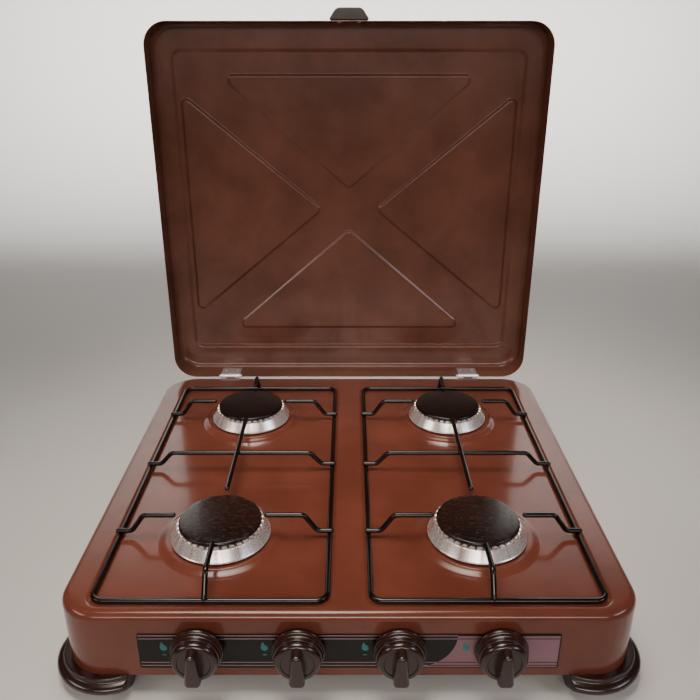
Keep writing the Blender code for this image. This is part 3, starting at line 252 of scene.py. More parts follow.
def emboss(tree: Tree, shader: Shader, height: Socket, strength: float, depth: float) -> None:
    """Give a shader a bump.

    Args:
        tree: The node tree.
        shader: Its Principled BSDF.
        height: The height, from 0 to 1.
        strength: How much of the bump is used.
        depth: How far a full height stands up.
    """
    sockets = {"Height": height, "Strength": strength, "Distance": depth}
    tree.links.new(add_node(tree, "ShaderNodeBump", sockets).outputs["Normal"], shader.inputs["Normal"])


@dataclass(frozen=True)
class Finish:
    """A surface finish: the record's slot that it belongs to, its colour and how glossy it is."""

    name: str
    slot: str
    colour: str
    roughness: float = 0.3

    def material(self) -> bpy.types.Material:
        """Make the finish's material, or find the one made before.

        Returns:
            The material.
        """
        found = bpy.data.materials.get(self.name)
        if found is not None:
            return found
        material = bpy.data.materials.new(self.name)
        material.use_nodes = True
        tree = material.node_tree
        shader = tree.nodes["Principled BSDF"]
        shader.inputs["Base Color"].default_value = linear(self.colour)
        shader.inputs["Roughness"].default_value = self.roughness
        place = add_node(tree, "ShaderNodeTexCoord").outputs["Object"]
        self.dress(tree, shader, place)
        return material

    def dress(self, tree: Tree, shader: Shader, place: Socket) -> None:
        """Add the finish's own detail to a plain shader.

        Args:
            tree: The material's node tree.
            shader: Its Principled BSDF.
            place: The output that gives Object coordinates.
        """
        raise NotImplementedError


@dataclass(frozen=True)
class VitreousEnamel(Finish):
    """Glass enamel fired on pressed steel: deep colour under a hard gloss, with a faint orange peel.

    The eye gets slow changes of tone, a gloss that ripples by a hair, and broad wiping marks.
    """

    deep_colour: str = "#000000"
    cloud_size: float = 70.0 * MM
    mark_size: float = 30.0 * MM
    mark_roughness: float = 0.03
    peel_size: float = 2.6 * MM
    peel_height: float = 0.012 * MM
    glass_ior: float = 1.42
    coat_weight: float = 0.1
    coat_roughness: float = 0.05
    scuff_size: float = 5.0 * MM
    scuff_turn: float = 24.0
    scuff_stretch: tuple[float, float, float] = (0.7, 1.3, 1.0)
    dust_colour: str = "#6e5448"
    dust_roughness: float = 0.9
    dust_share: float = 0.0

    def dress(self, tree: Tree, shader: Shader, place: Socket) -> None:
        """Add cloudy tone, wiping marks, orange peel and, where it is used, settled dust."""
        cloud = ranged(tree, noise(tree, place, self.cloud_size, 3.0, 0.55), 0.34, 0.66)
        colour = blend(tree, cloud, linear(self.deep_colour), linear(self.colour))
        marks = noise(tree, place, self.mark_size, 2.0)
        rough = ranged(tree, marks, 0.3, 0.7, self.roughness, self.roughness + self.mark_roughness)
        if self.dust_share > 0:
            colour, rough = self.dusted(tree, place, colour, rough)
        feed(tree, shader, colour, rough)
        emboss(tree, shader, noise(tree, place, self.peel_size, 1.5, 0.4), 0.5, self.peel_height)
        shader.inputs["IOR"].default_value = self.glass_ior
        shader.inputs["Coat Weight"].default_value = self.coat_weight
        shader.inputs["Coat Roughness"].default_value = self.coat_roughness

    def dusted(self, tree: Tree, place: Socket, colour: Socket, rough: Socket) -> tuple[Socket, Socket]:
        """Lay scuffs and dust over the faces that look up.

        Args:
            tree: The material's node tree.
            place: The output that gives Object coordinates.
            colour: The clean enamel's colour.
            rough: The clean enamel's roughness.

        Returns:
            The dusted colour and roughness.
        """
        turn = (0, 0, math.radians(self.scuff_turn))
        stretched = add_node(
            tree, "ShaderNodeMapping", {"Vector": place, "Rotation": turn, "Scale": self.scuff_stretch}
        )
        scuffs = noise(tree, stretched.outputs["Vector"], self.scuff_size, 8.0, 0.72)
        amount = ranged(tree, scuffs, 0.5, 0.78, 0.0, self.dust_share)
        facing = add_node(tree, "ShaderNodeNewGeometry").outputs["Normal"]
        normal = add_node(tree, "ShaderNodeSeparateXYZ", {"Vector": facing})
        upward = add_node(
            tree, "ShaderNodeMath", {0: amount, 1: normal.outputs["Z"]}, operation="MULTIPLY", use_clamp=True
        ).outputs["Value"]
        dull = add_node(
            tree, "ShaderNodeMath", {0: upward, 1: self.dust_roughness, 2: rough}, operation="MULTIPLY_ADD"
        )
        return blend(tree, upward, colour, linear(self.dust_colour)), dull.outputs["Value"]


@dataclass(frozen=True)
class TurnedAluminium(Finish):
    """Die-cast aluminium, turned on the lathe: bright grooves round the axis, heat-stained streaks up it.

    The eye gets a metal gone a little dull, with part of its light scattered as from the cast skin.
    """

    streak_colour: str = "#e0c3b8"
    axis_x: float = 0.0
    axis_y: float = 0.0
    streaks_round: float = 9.0
    groove_pitch: float = 0.45 * MM
    groove_share: float = 0.25
    grain_size: float = 0.9 * MM
    relief_height: float = 0.03 * MM
    bare_metal: float = 0.72

    def dress(self, tree: Tree, shader: Shader, place: Socket) -> None:
        """Add turning grooves by height, streaks by angle and a fine cast grain."""
        centre = (-self.axis_x, -self.axis_y, 0)
        centred = add_node(tree, "ShaderNodeMapping", {"Vector": place, "Location": centre})
        split = add_node(tree, "ShaderNodeSeparateXYZ", {"Vector": centred.outputs["Vector"]})
        angle = add_node(
            tree, "ShaderNodeMath", {0: split.outputs["Y"], 1: split.outputs["X"]}, operation="ARCTAN2"
        )
        streaks = add_node(
            tree,
            "ShaderNodeTexNoise",
            {"W": angle.outputs["Value"], "Scale": self.streaks_round, "Detail": 5.0, "Roughness": 0.62},
            noise_dimensions="1D",
        )
        stain = ranged(tree, streaks.outputs["Fac"], 0.4, 0.7)
        waves = add_node(
            tree,
            "ShaderNodeMath",
            {0: split.outputs["Z"], 1: math.tau / self.groove_pitch},
            operation="MULTIPLY",
        )
        groove = add_node(tree, "ShaderNodeMath", {0: waves.outputs["Value"]}, operation="SINE")
        grain = noise(tree, place, self.grain_size, 4.0, 0.6)
        relief = add_node(
            tree,
            "ShaderNodeMath",
            {0: groove.outputs["Value"], 1: self.groove_share, 2: grain},
            operation="MULTIPLY_ADD",
        )
        rough = ranged(tree, grain, 0.0, 1.0, self.roughness - 0.08, self.roughness + 0.14)
        feed(tree, shader, blend(tree, stain, linear(self.colour), linear(self.streak_colour)), rough)
        emboss(tree, shader, relief.outputs["Value"], 0.35, self.relief_height)
        shader.inputs["Metallic"].default_value = self.bare_metal


@dataclass(frozen=True)
class PlainMetal(Finish):
    """A small metal part, plated, drawn or machined: a soft grain, dull spots and handling marks."""

    dull_colour: str = "#777777"
    tarnish_size: float = 9.0 * MM
    grain_size: float = 0.6 * MM
    grain_height: float = 0.02 * MM

    def dress(self, tree: Tree, shader: Shader, place: Socket) -> None:
        """Add tarnish in colour, spots in roughness and a fine grain in the bump."""
        tarnish = noise(tree, place, self.tarnish_size, 6.0, 0.65)
        rough = ranged(tree, tarnish, 0.0, 1.0, self.roughness - 0.1, self.roughness + 0.2)
        feed(tree, shader, blend(tree, tarnish, linear(self.colour), linear(self.dull_colour)), rough)
        emboss(tree, shader, noise(tree, place, self.grain_size, 3.0), 0.3, self.grain_height)
        shader.inputs["Metallic"].default_value = 1.0


@dataclass(frozen=True)
class MouldedPlastic(Finish):
    """Phenolic plastic, pressed in a polished mould: a near-even brown, its gloss dulled by handling."""

    dull_colour: str = "#2a150f"
    flow_size: float = 16.0 * MM
    handling_size: float = 4.0 * MM
    handling_roughness: float = 0.07
    texture_size: float = 0.8 * MM
    texture_height: float = 0.006 * MM
    resin_ior: float = 1.58

    def dress(self, tree: Tree, shader: Shader, place: Socket) -> None:
        """Add flow marks in the colour, handling marks in the gloss and a fine moulded texture."""
        flow = noise(tree, place, self.flow_size, 5.0, 0.6, 1.2)
        handling = noise(tree, place, self.handling_size, 7.0, 0.7)
        rough = ranged(tree, handling, 0.35, 0.75, self.roughness, self.roughness + self.handling_roughness)
        feed(tree, shader, blend(tree, flow, linear(self.colour), linear(self.dull_colour)), rough)
        emboss(tree, shader, noise(tree, place, self.texture_size, 2.0), 0.2, self.texture_height)
        shader.inputs["IOR"].default_value = self.resin_ior


@dataclass(frozen=True)
class PrintedInk(Finish):
    """Screen-printed ink on aluminium sheet: flat, with a trace of metal and fine wiping scratches."""

    sheen_metal: float = 0.0
    scratch_size: float = 0.8 * MM
    scratch_stretch: tuple[float, float, float] = (0.12, 1.0, 1.0)
    scratch_roughness: float = 0.2
    cloud_size: float = 40.0 * MM
    cloud_share: float = 0.2
    specular_level: float = 0.3

    def dress(self, tree: Tree, shader: Shader, place: Socket) -> None:
        """Add level wiping scratches to the gloss and a slow change of tone."""
        stretched = add_node(tree, "ShaderNodeMapping", {"Vector": place, "Scale": self.scratch_stretch})
        scratches = noise(tree, stretched.outputs["Vector"], self.scratch_size, 5.0, 0.7)
        rough = ranged(tree, scratches, 0.3, 0.8, self.roughness, self.roughness + self.scratch_roughness)
        cloud = noise(tree, place, self.cloud_size, 2.0)
        value = ranged(tree, cloud, 0.0, 1.0, 1 - self.cloud_share, 1 + self.cloud_share)
        tone = add_node(tree, "ShaderNodeHueSaturation", {"Color": linear(self.colour), "Value": value})
        feed(tree, shader, tone.outputs["Color"], rough)
        shader.inputs["Metallic"].default_value = self.sheen_metal
        shader.inputs["Specular IOR Level"].default_value = self.specular_level


@dataclass(frozen=True)
class StudioPaper(Finish):
    """Matt seamless paper for the floor and backdrop."""

    tooth_size: float = 3.0 * MM
    tooth_height: float = 0.02 * MM

    def dress(self, tree: Tree, shader: Shader, place: Socket) -> None:
        """Add the paper's faint tooth."""
        emboss(tree, shader, noise(tree, place, self.tooth_size, 2.0), 0.1, self.tooth_height)


# The finishes, from the photograph's lit tones.
PLATE_ENAMEL = VitreousEnamel(
    "brown_vitreous_enamel", "brown_enamel", "#6b3a2c", roughness=0.15, deep_colour="#5e3024"
)
LID_ENAMEL = VitreousEnamel(
    "dark_brown_vitreous_enamel", "dark_brown_enamel", "#6e4435", roughness=0.24, deep_colour="#5c3628"
)
WIRE_ENAMEL = VitreousEnamel(
    "black_wire_enamel",
    "black_enamel",
    "#120a07",
    roughness=0.16,
    deep_colour="#0b0604",
    peel_height=0.03 * MM,
)
CAP_ENAMEL = VitreousEnamel(
    "black_cap_enamel", "black_enamel", "#160c0b", roughness=0.2, deep_colour="#100807", dust_share=0.08
)
USED_CAP_ENAMEL = VitreousEnamel(
    "used_black_cap_enamel",
    "black_enamel",
    "#24110c",
    roughness=0.22,
    deep_colour="#140b0a",
    dust_share=0.25,
)
DARK_PLASTIC = MouldedPlastic("dark_brown_phenolic", "dark_brown_plastic", "#24120d", roughness=0.2)
STRIP_BLACK = PrintedInk("black_strip_ink", "printed_strip", "#080506", roughness=0.3)
STRIP_SILVER = PrintedInk("silver_line_ink", "printed_strip", "#8f787c", roughness=0.4, sheen_metal=0.3)
STRIP_ROSE = PrintedInk("rose_silver_panel_ink", "printed_strip", "#86656c", roughness=0.42, sheen_metal=0.3)
STRIP_TEAL = PrintedInk("teal_flame_ink", "printed_strip", "#2f6f6b", roughness=0.4)
TURNED_BRASS = PlainMetal("turned_brass", "brass", "#c9a860", roughness=0.32, dull_colour="#8e7038")
ZINC_STEEL = PlainMetal(
    "zinc_plated_steel", "zinc_plated_steel", "#b9babd", roughness=0.34, dull_colour="#8b8c90"
)
ALUMINIUM_TUBE = PlainMetal(
    "drawn_aluminium_tube", "drawn_aluminium_tube", "#c6c6c8", roughness=0.36, dull_colour="#9a9a9e"
)
PAPER = StudioPaper("pale_studio_paper", "", "#cbc8c4", roughness=0.9)


def rounding(radius: float, segments: int) -> list[tuple[float, float]]:
    """Give the inset steps that round an upright wall over into a level face.

    Args:
        radius: The radius of the rounding.
        segments: How many facets it has.

    Returns:
        For each facet, how far it runs inwards and how far it rises.
    """
    angles = [math.pi / 2 * step / segments for step in range(segments + 1)]
    return [
        (radius * (math.cos(first) - math.cos(second)), radius * (math.sin(second) - math.sin(first)))
        for first, second in zip(angles, angles[1:])
    ]


def pressing(width: float, rise: float, segments: int) -> list[tuple[float, float]]:
    """Give the inset steps of a pressed slope, soft at its top and at its foot.

    Args:
        width: How far the slope runs inwards.
        rise: How far it rises, or falls where it is negative.
        segments: How many facets it has.

    Returns:
        For each facet, how far it runs inwards and how far it rises.
    """
    shares = [step / segments for step in range(segments + 1)]
    heights = [share * share * (3 - 2 * share) for share in shares]
    return [
        (width / segments, rise * (upper - lower)) for lower, upper in zip(heights, heights[1:])
    ]


def inset_steps(bm: BMesh, face: BMFace, steps: Iterable[tuple[float, float]]) -> BMFace:
    """Draw a face inwards and along its normal in steps.

    Args:
        bm: The mesh that holds the face.
        face: The face that is drawn.
        steps: How far each step runs inwards and rises.

    Returns:
        The face that is left in the middle.
    """
    for run, rise in steps:
        bmesh.ops.inset_region(
            bm, faces=[face], thickness=run, depth=rise, use_even_offset=True, use_boundary=True
        )
    return face


def open_face(bm: BMesh, face: BMFace) -> list[BMEdge]:
    """Take a face out and keep its edges.

    Args:
        bm: The mesh that holds the face.
        face: The face that is taken out.

    Returns:
        The edges that went round it.
    """
    edges = list(face.edges)
    bmesh.ops.delete(bm, geom=[face], context="FACES_ONLY")
    return edges


def free_edges(bm: BMesh, before: set[BMFace]) -> list[BMEdge]:
    """Find the open edges round what was added to a mesh.

    Args:
        bm: The mesh.
        before: The faces that it had before.

    Returns:
        The open edges of all newer faces.
    """
    return [edge for edge in bm.edges if edge.is_boundary and edge.link_faces[0] not in before]


def fill_between(bm: BMesh, loops: Sequence[Sequence[BMEdge]], normal: Vector) -> list[BMFace]:
    """Fill a flat sheet between an outer loop and the loops that lie inside it.

    Args:
        bm: The mesh that holds the loops.
        loops: The loops of edges, the outer one first.
        normal: The way the sheet faces.

    Returns:
        The new faces.
    """
    edges = [edge for loop in loops for edge in loop]
    made = bmesh.ops.triangle_fill(bm, use_beauty=True, use_dissolve=False, edges=edges, normal=normal)
    return [item for item in made["geom"] if isinstance(item, BMFace)]


def rounded_face(
    bm: BMesh, width: float, depth: float, corner: float, segments: int, middle: Vector
) -> BMFace:
    """Make a level rectangle with round corners.

    Args:
        bm: The mesh that gets it.
        width: Its size along X.
        depth: Its size along Y.
        corner: The radius of its corners.
        segments: How many facets each corner has.
        middle: Its middle.

    Returns:
        The new face.
    """
    made = bmesh.ops.create_grid(bm, x_segments=1, y_segments=1, size=0.5)
    bmesh.ops.scale(bm, vec=(width, depth, 1), verts=made["verts"])
    bmesh.ops.translate(bm, vec=middle, verts=made["verts"])
    face = made["verts"][0].link_faces[0]
    return rounded_corners(bm, face, corner, segments)


def rounded_corners(bm: BMesh, face: BMFace, corner: float, segments: int) -> BMFace:
    """Round every corner of a flat face that stands by itself.

    Args:
        bm: The mesh that holds the face.
        face: The face.
        corner: The size of the rounding.
        segments: How many facets each corner gets.

    Returns:
        The rounded face.
    """
    anchor = face.calc_center_median()
    corners = len(face.verts)
    bmesh.ops.bevel(
        bm,
        geom=list(face.verts),
        offset=corner,
        offset_type="OFFSET",
        segments=segments,
        profile=0.5,
        affect="VERTICES",
        clamp_overlap=False,
        material=-1,
    )
    level = [item for item in bm.faces if item.is_valid and len(item.verts) >= corners * segments]
    return min(level, key=lambda item: (item.calc_center_median() - anchor).length)


def outline_face(bm: BMesh, corners: Sequence[tuple[float, float]], level: float) -> BMFace:
    """Make a level face from the few corners of its outline.

    Args:
        bm: The mesh that gets it.
        corners: The corners' X and Y.
        level: Its Z.

    Returns:
        The new face, looking up.
    """
    verts = [bm.verts.new((x, y, level)) for x, y in corners]
    face = bm.faces.new(verts)
    face.normal_update()
    if face.normal.z < 0:
        face.normal_flip()
    return face


def ring(
    bm: BMesh, radius: float, middle: Vector, segments: int, facing: Vector = Vector((0, 0, 1))
) -> list[BMEdge]:
    """Make an open circle.

    Args:
        bm: The mesh that gets it.
        radius: Its radius.
        middle: Its middle.
        segments: How many edges it has.
        facing: The way its plane faces.

    Returns:
        The circle's edges.
    """
    turn = Vector((0, 0, 1)).rotation_difference(facing).to_matrix().to_4x4()
    made = bmesh.ops.create_circle(
        bm, cap_ends=False, segments=segments, radius=radius, matrix=Matrix.Translation(middle) @ turn
    )
    return list({edge for vert in made["verts"] for edge in vert.link_edges})


def drawn_ring(
    bm: BMesh, edges: Sequence[BMEdge], middle: Vector, steps: Iterable[tuple[float, float]], start: float
) -> list[BMEdge]:
    """Draw a circle of edges inwards and up in steps about its upright axis.

    Args:
        bm: The mesh that holds the circle.
        edges: The circle's edges.
        middle: A point on its axis.
        steps: How far each step runs inwards and rises.
        start: The circle's radius.

    Returns:
        The edges of the last circle.
    """
    radius = start
    for run, rise in steps:
        made = bmesh.ops.extrude_edge_only(bm, edges=list(edges))["geom"]
        verts = [item for item in made if isinstance(item, BMVert)]
        share = (radius - run) / radius
        centre = Matrix.Translation(-middle)
        bmesh.ops.scale(bm, vec=(share, share, 1), space=centre, verts=verts)
        bmesh.ops.translate(bm, vec=(0, 0, rise), verts=verts)
        members = set(verts)
        edges = [
            item for item in made if isinstance(item, BMEdge) and all(vert in members for vert in item.verts)
        ]
        radius -= run
    return list(edges)


def spun(bm: BMesh, profile: Sequence[tuple[float, float]], middle: Vector, steps: int) -> list[BMVert]:
    """Turn a section about the upright axis through a point.

    Args:
        bm: The mesh that gets the turned shape.
        profile: The section's radii and heights, round to where it starts where it is closed.
        middle: The point that the radii and heights are measured from.
        steps: How many facets a full turn has.

    Returns:
        The vertices of the turned shape.
    """
    before = set(bm.verts)
    verts = [bm.verts.new((radius, 0, height)) for radius, height in profile]
    edges = [bm.edges.new(pair) for pair in zip(verts, verts[1:])]
    if profile[0][0] > 0 and profile[-1][0] > 0:
        edges.append(bm.edges.new((verts[-1], verts[0])))
    bmesh.ops.spin(
        bm,
        geom=verts + edges,
        axis=(0, 0, 1),
        cent=(0, 0, 0),
        angle=math.tau,
        steps=steps,
        use_merge=True,
        use_duplicate=False,
    )
    made = [vert for vert in bm.verts if vert not in before]
    bmesh.ops.remove_doubles(bm, verts=made, dist=WELD_DISTANCE)
    made = [vert for vert in bm.verts if vert not in before]
    bmesh.ops.recalc_face_normals(bm, faces=list({face for vert in made for face in vert.link_faces}))
    bmesh.ops.translate(bm, vec=middle, verts=made)
    return made


def arc(
    centre: tuple[float, float], radius: float, start: float, end: float, segments: int
) -> list[tuple[float, float]]:
    """Give the points of an arc in a section.

    Args:
        centre: The arc's middle, as radius and height.
        radius: Its radius.
        start: Where it starts, in degrees from the outward direction.
        end: Where it ends, in degrees.
        segments: How many facets it has.

    Returns:
        The points as radii and heights.
    """
    angles = [math.radians(start + (end - start) * step / segments) for step in range(segments + 1)]
    return [(centre[0] + radius * math.cos(angle), centre[1] + radius * math.sin(angle)) for angle in angles]


def eased_path(
    points: Sequence[Vector], radius: float, segments: int = 7, closed: bool = False
) -> list[Vector]:
    """Round the corners of a path with arcs.

    Args:
        points: The path's corners.
        radius: The bend radius.
        segments: How many straight pieces each bend has.
        closed: Whether the path runs back to where it starts.

    Returns:
        The points of the eased path.
    """
    count = len(points)
    path = [] if closed else [points[0]]
    for index in range(0 if closed else 1, count if closed else count - 1):
        corner = points[index]
        before = points[index - 1] - corner
        after = points[(index + 1) % count] - corner
        opening = before.angle(after)
        reach = min(radius / math.tan(opening / 2), before.length / 2, after.length / 2)
        bend = reach * math.tan(opening / 2)
        inward = (before.normalized() + after.normalized()).normalized()
        centre = corner + inward * bend / math.sin(opening / 2)
        first = corner + before.normalized() * reach - centre
        last = corner + after.normalized() * reach - centre
        turn = first.rotation_difference(last)
        for step in range(segments + 1):
            part = turn.copy()
            part.identity()
            path.append(centre + part.slerp(turn, step / segments) @ first)
    if not closed:
        path.append(points[-1])
    return path


def swept_rod(
    bm: BMesh,
    path: Sequence[Vector],
    radius: float,
    sides: int = 16,
    closed: bool = False,
    round_ends: bool = True,
) -> None:
    """Draw a round rod along a path, one extruded ring after another.

    Args:
        bm: The mesh that gets the rod.
        path: The points of its middle line.
        radius: The rod's radius.
        sides: How many facets go round it.
        closed: Whether it runs back to where it starts.
        round_ends: Whether its ends are domed.
    """
    count = len(path)
    rod = bmesh.new()
    ways = []
    for index in range(count):
        here = path[index]
        before = (here - path[index - 1]).normalized() if closed or index else None
        ends_here = index == count - 1 and not closed
        after = None if ends_here else (path[(index + 1) % count] - here).normalized()
        ways.append(((before or after) + (after or before)).normalized())
    stations = [(point, way, 1.0) for point, way in zip(path, ways)]
    if not closed and round_ends:
        climbs = [math.radians(angle) for angle in (25, 50, 75)]
        dome = [(math.sin(climb), math.cos(climb)) for climb in climbs]
        start = [(path[0] - ways[0] * radius * (out - 1), ways[0], share) for out, share in dome]
        end = [(path[-1] + ways[-1] * radius * (out - 1), ways[-1], share) for out, share in dome]
        first = (path[0] + ways[0] * radius, ways[0], 1.0)
        last = (path[-1] - ways[-1] * radius, ways[-1], 1.0)
        stations = [*reversed(start), first, *stations[1:-1], last, *end]
    up = Vector((0, 0, 1))
    turn = up.rotation_difference(stations[0][1])
    edges = ring(rod, radius, Vector(), sides)
    verts = list({vert for edge in edges for vert in edge.verts})
    local = [vert.co.copy() for vert in verts]
    first_edges = edges
    frame = turn
    previous = stations[0][1]
    for index, (point, way, share) in enumerate(stations):
        if index:
            made = bmesh.ops.extrude_edge_only(rod, edges=edges)["geom"]
            fresh = [item for item in made if isinstance(item, BMVert)]
            members = set(fresh)
            edges = [item for item in made if isinstance(item, BMEdge) and set(item.verts) <= members]
            partner = {}
            for vert in fresh:
                for edge in vert.link_edges:
                    other = edge.other_vert(vert)
                    if other not in members:
                        partner[other] = vert
            verts = [partner[vert] for vert in verts]
            frame = previous.rotation_difference(way) @ frame
            previous = way
        for vert, offset in zip(verts, local):
            vert.co = point + frame @ (offset * share)
    if closed:
        bmesh.ops.bridge_loops(rod, edges=list(first_edges) + list(edges))
    else:
        bmesh.ops.holes_fill(rod, edges=list(rod.edges), sides=sides)
    bmesh.ops.recalc_face_normals(rod, faces=rod.faces)
    joined(bm, rod)


def joined(bm: BMesh, extra: BMesh, place: Matrix | None = None) -> None:
    """Add one mesh to another and free it.

    Args:
        bm: The mesh that grows.
        extra: The mesh that is added.
        place: Where it goes, if not where it is.
    """
    if place is not None:
        bmesh.ops.transform(extra, matrix=place, verts=extra.verts)
    carrier = bpy.data.meshes.new("carrier")
    extra.to_mesh(carrier)
    extra.free()
    bm.from_mesh(carrier)
    bpy.data.meshes.remove(carrier)


def soft_block(
    bm: BMesh, size: Sequence[float], middle: Vector, edge: float, segments: int = 3
) -> list[BMVert]:
    """Make a block with every edge rounded.

    Args:
        bm: The mesh that gets it.
        size: Its three sizes.
        middle: Its middle.
        edge: The radius of its edges.
        segments: How many facets each edge has.

    Returns:
        The block's vertices.
    """
    block = bmesh.new()
    bmesh.ops.create_cube(block, size=1)
    bmesh.ops.scale(block, vec=size, verts=block.verts)
    soft_edges(block, list(block.edges), edge, segments)
    before = len(bm.verts)
    joined(bm, block, Matrix.Translation(middle))
    bm.verts.ensure_lookup_table()
    return list(bm.verts)[before:]


def soft_edges(bm: BMesh, edges: Sequence[BMEdge], width: float, segments: int = 3) -> None:
    """Round some edges of a mesh.

    Args:
        bm: The mesh that holds them.
        edges: The edges.
        width: The radius of the rounding.
        segments: How many facets it has.
    """
    bmesh.ops.bevel(
        bm,
        geom=list(edges),
        offset=width,
        offset_type="OFFSET",
        segments=segments,
        profile=0.5,
        affect="EDGES",
        clamp_overlap=True,
        material=-1,
    )


def finished(
    name: str,
    bm: BMesh,
    finish: Finish,
    body: str,
    nodes: Sequence[str] = (),
    bend: float = 32.0,
    wall: float = 0.0,
) -> bpy.types.Object:
    """Make a finished mesh a piece of the cooker.

    Args:
        name: The piece's name.
        bm: Its mesh, which is freed.
        finish: Its finish.
        body: The body that it rides on.
        nodes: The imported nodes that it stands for.
        bend: The angle in degrees past which an edge is sharp.
        wall: The thickness that a skin gets on its inner side.

    Returns:
        The new object.
    """
    mesh = bpy.data.meshes.new(name)
    bm.to_mesh(mesh)
    bm.free()
    mesh.shade_smooth()
    mesh.set_sharp_from_angle(angle=math.radians(bend))
    piece = bpy.data.objects.new(name, mesh)
    bpy.context.scene.collection.objects.link(piece)
    mesh.materials.append(finish.material())
    if wall > 0:
        solidify = piece.modifiers.new("wall", "SOLIDIFY")
        solidify.thickness = wall
        solidify.offset = -1.0
        solidify.use_even_offset = True
        solidify.use_quality_normals = True
    weigh = piece.modifiers.new("flat_faces_lead", "WEIGHTED_NORMAL")
    weigh.mode = "FACE_AREA"
    weigh.weight = FLAT_FACE_WEIGHT
    weigh.keep_sharp = True
    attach(piece, body)
    if nodes:
        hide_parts(*nodes)
    LOG.info("%s: %d faces, rides on %s", name, len(mesh.polygons), body)
    return piece


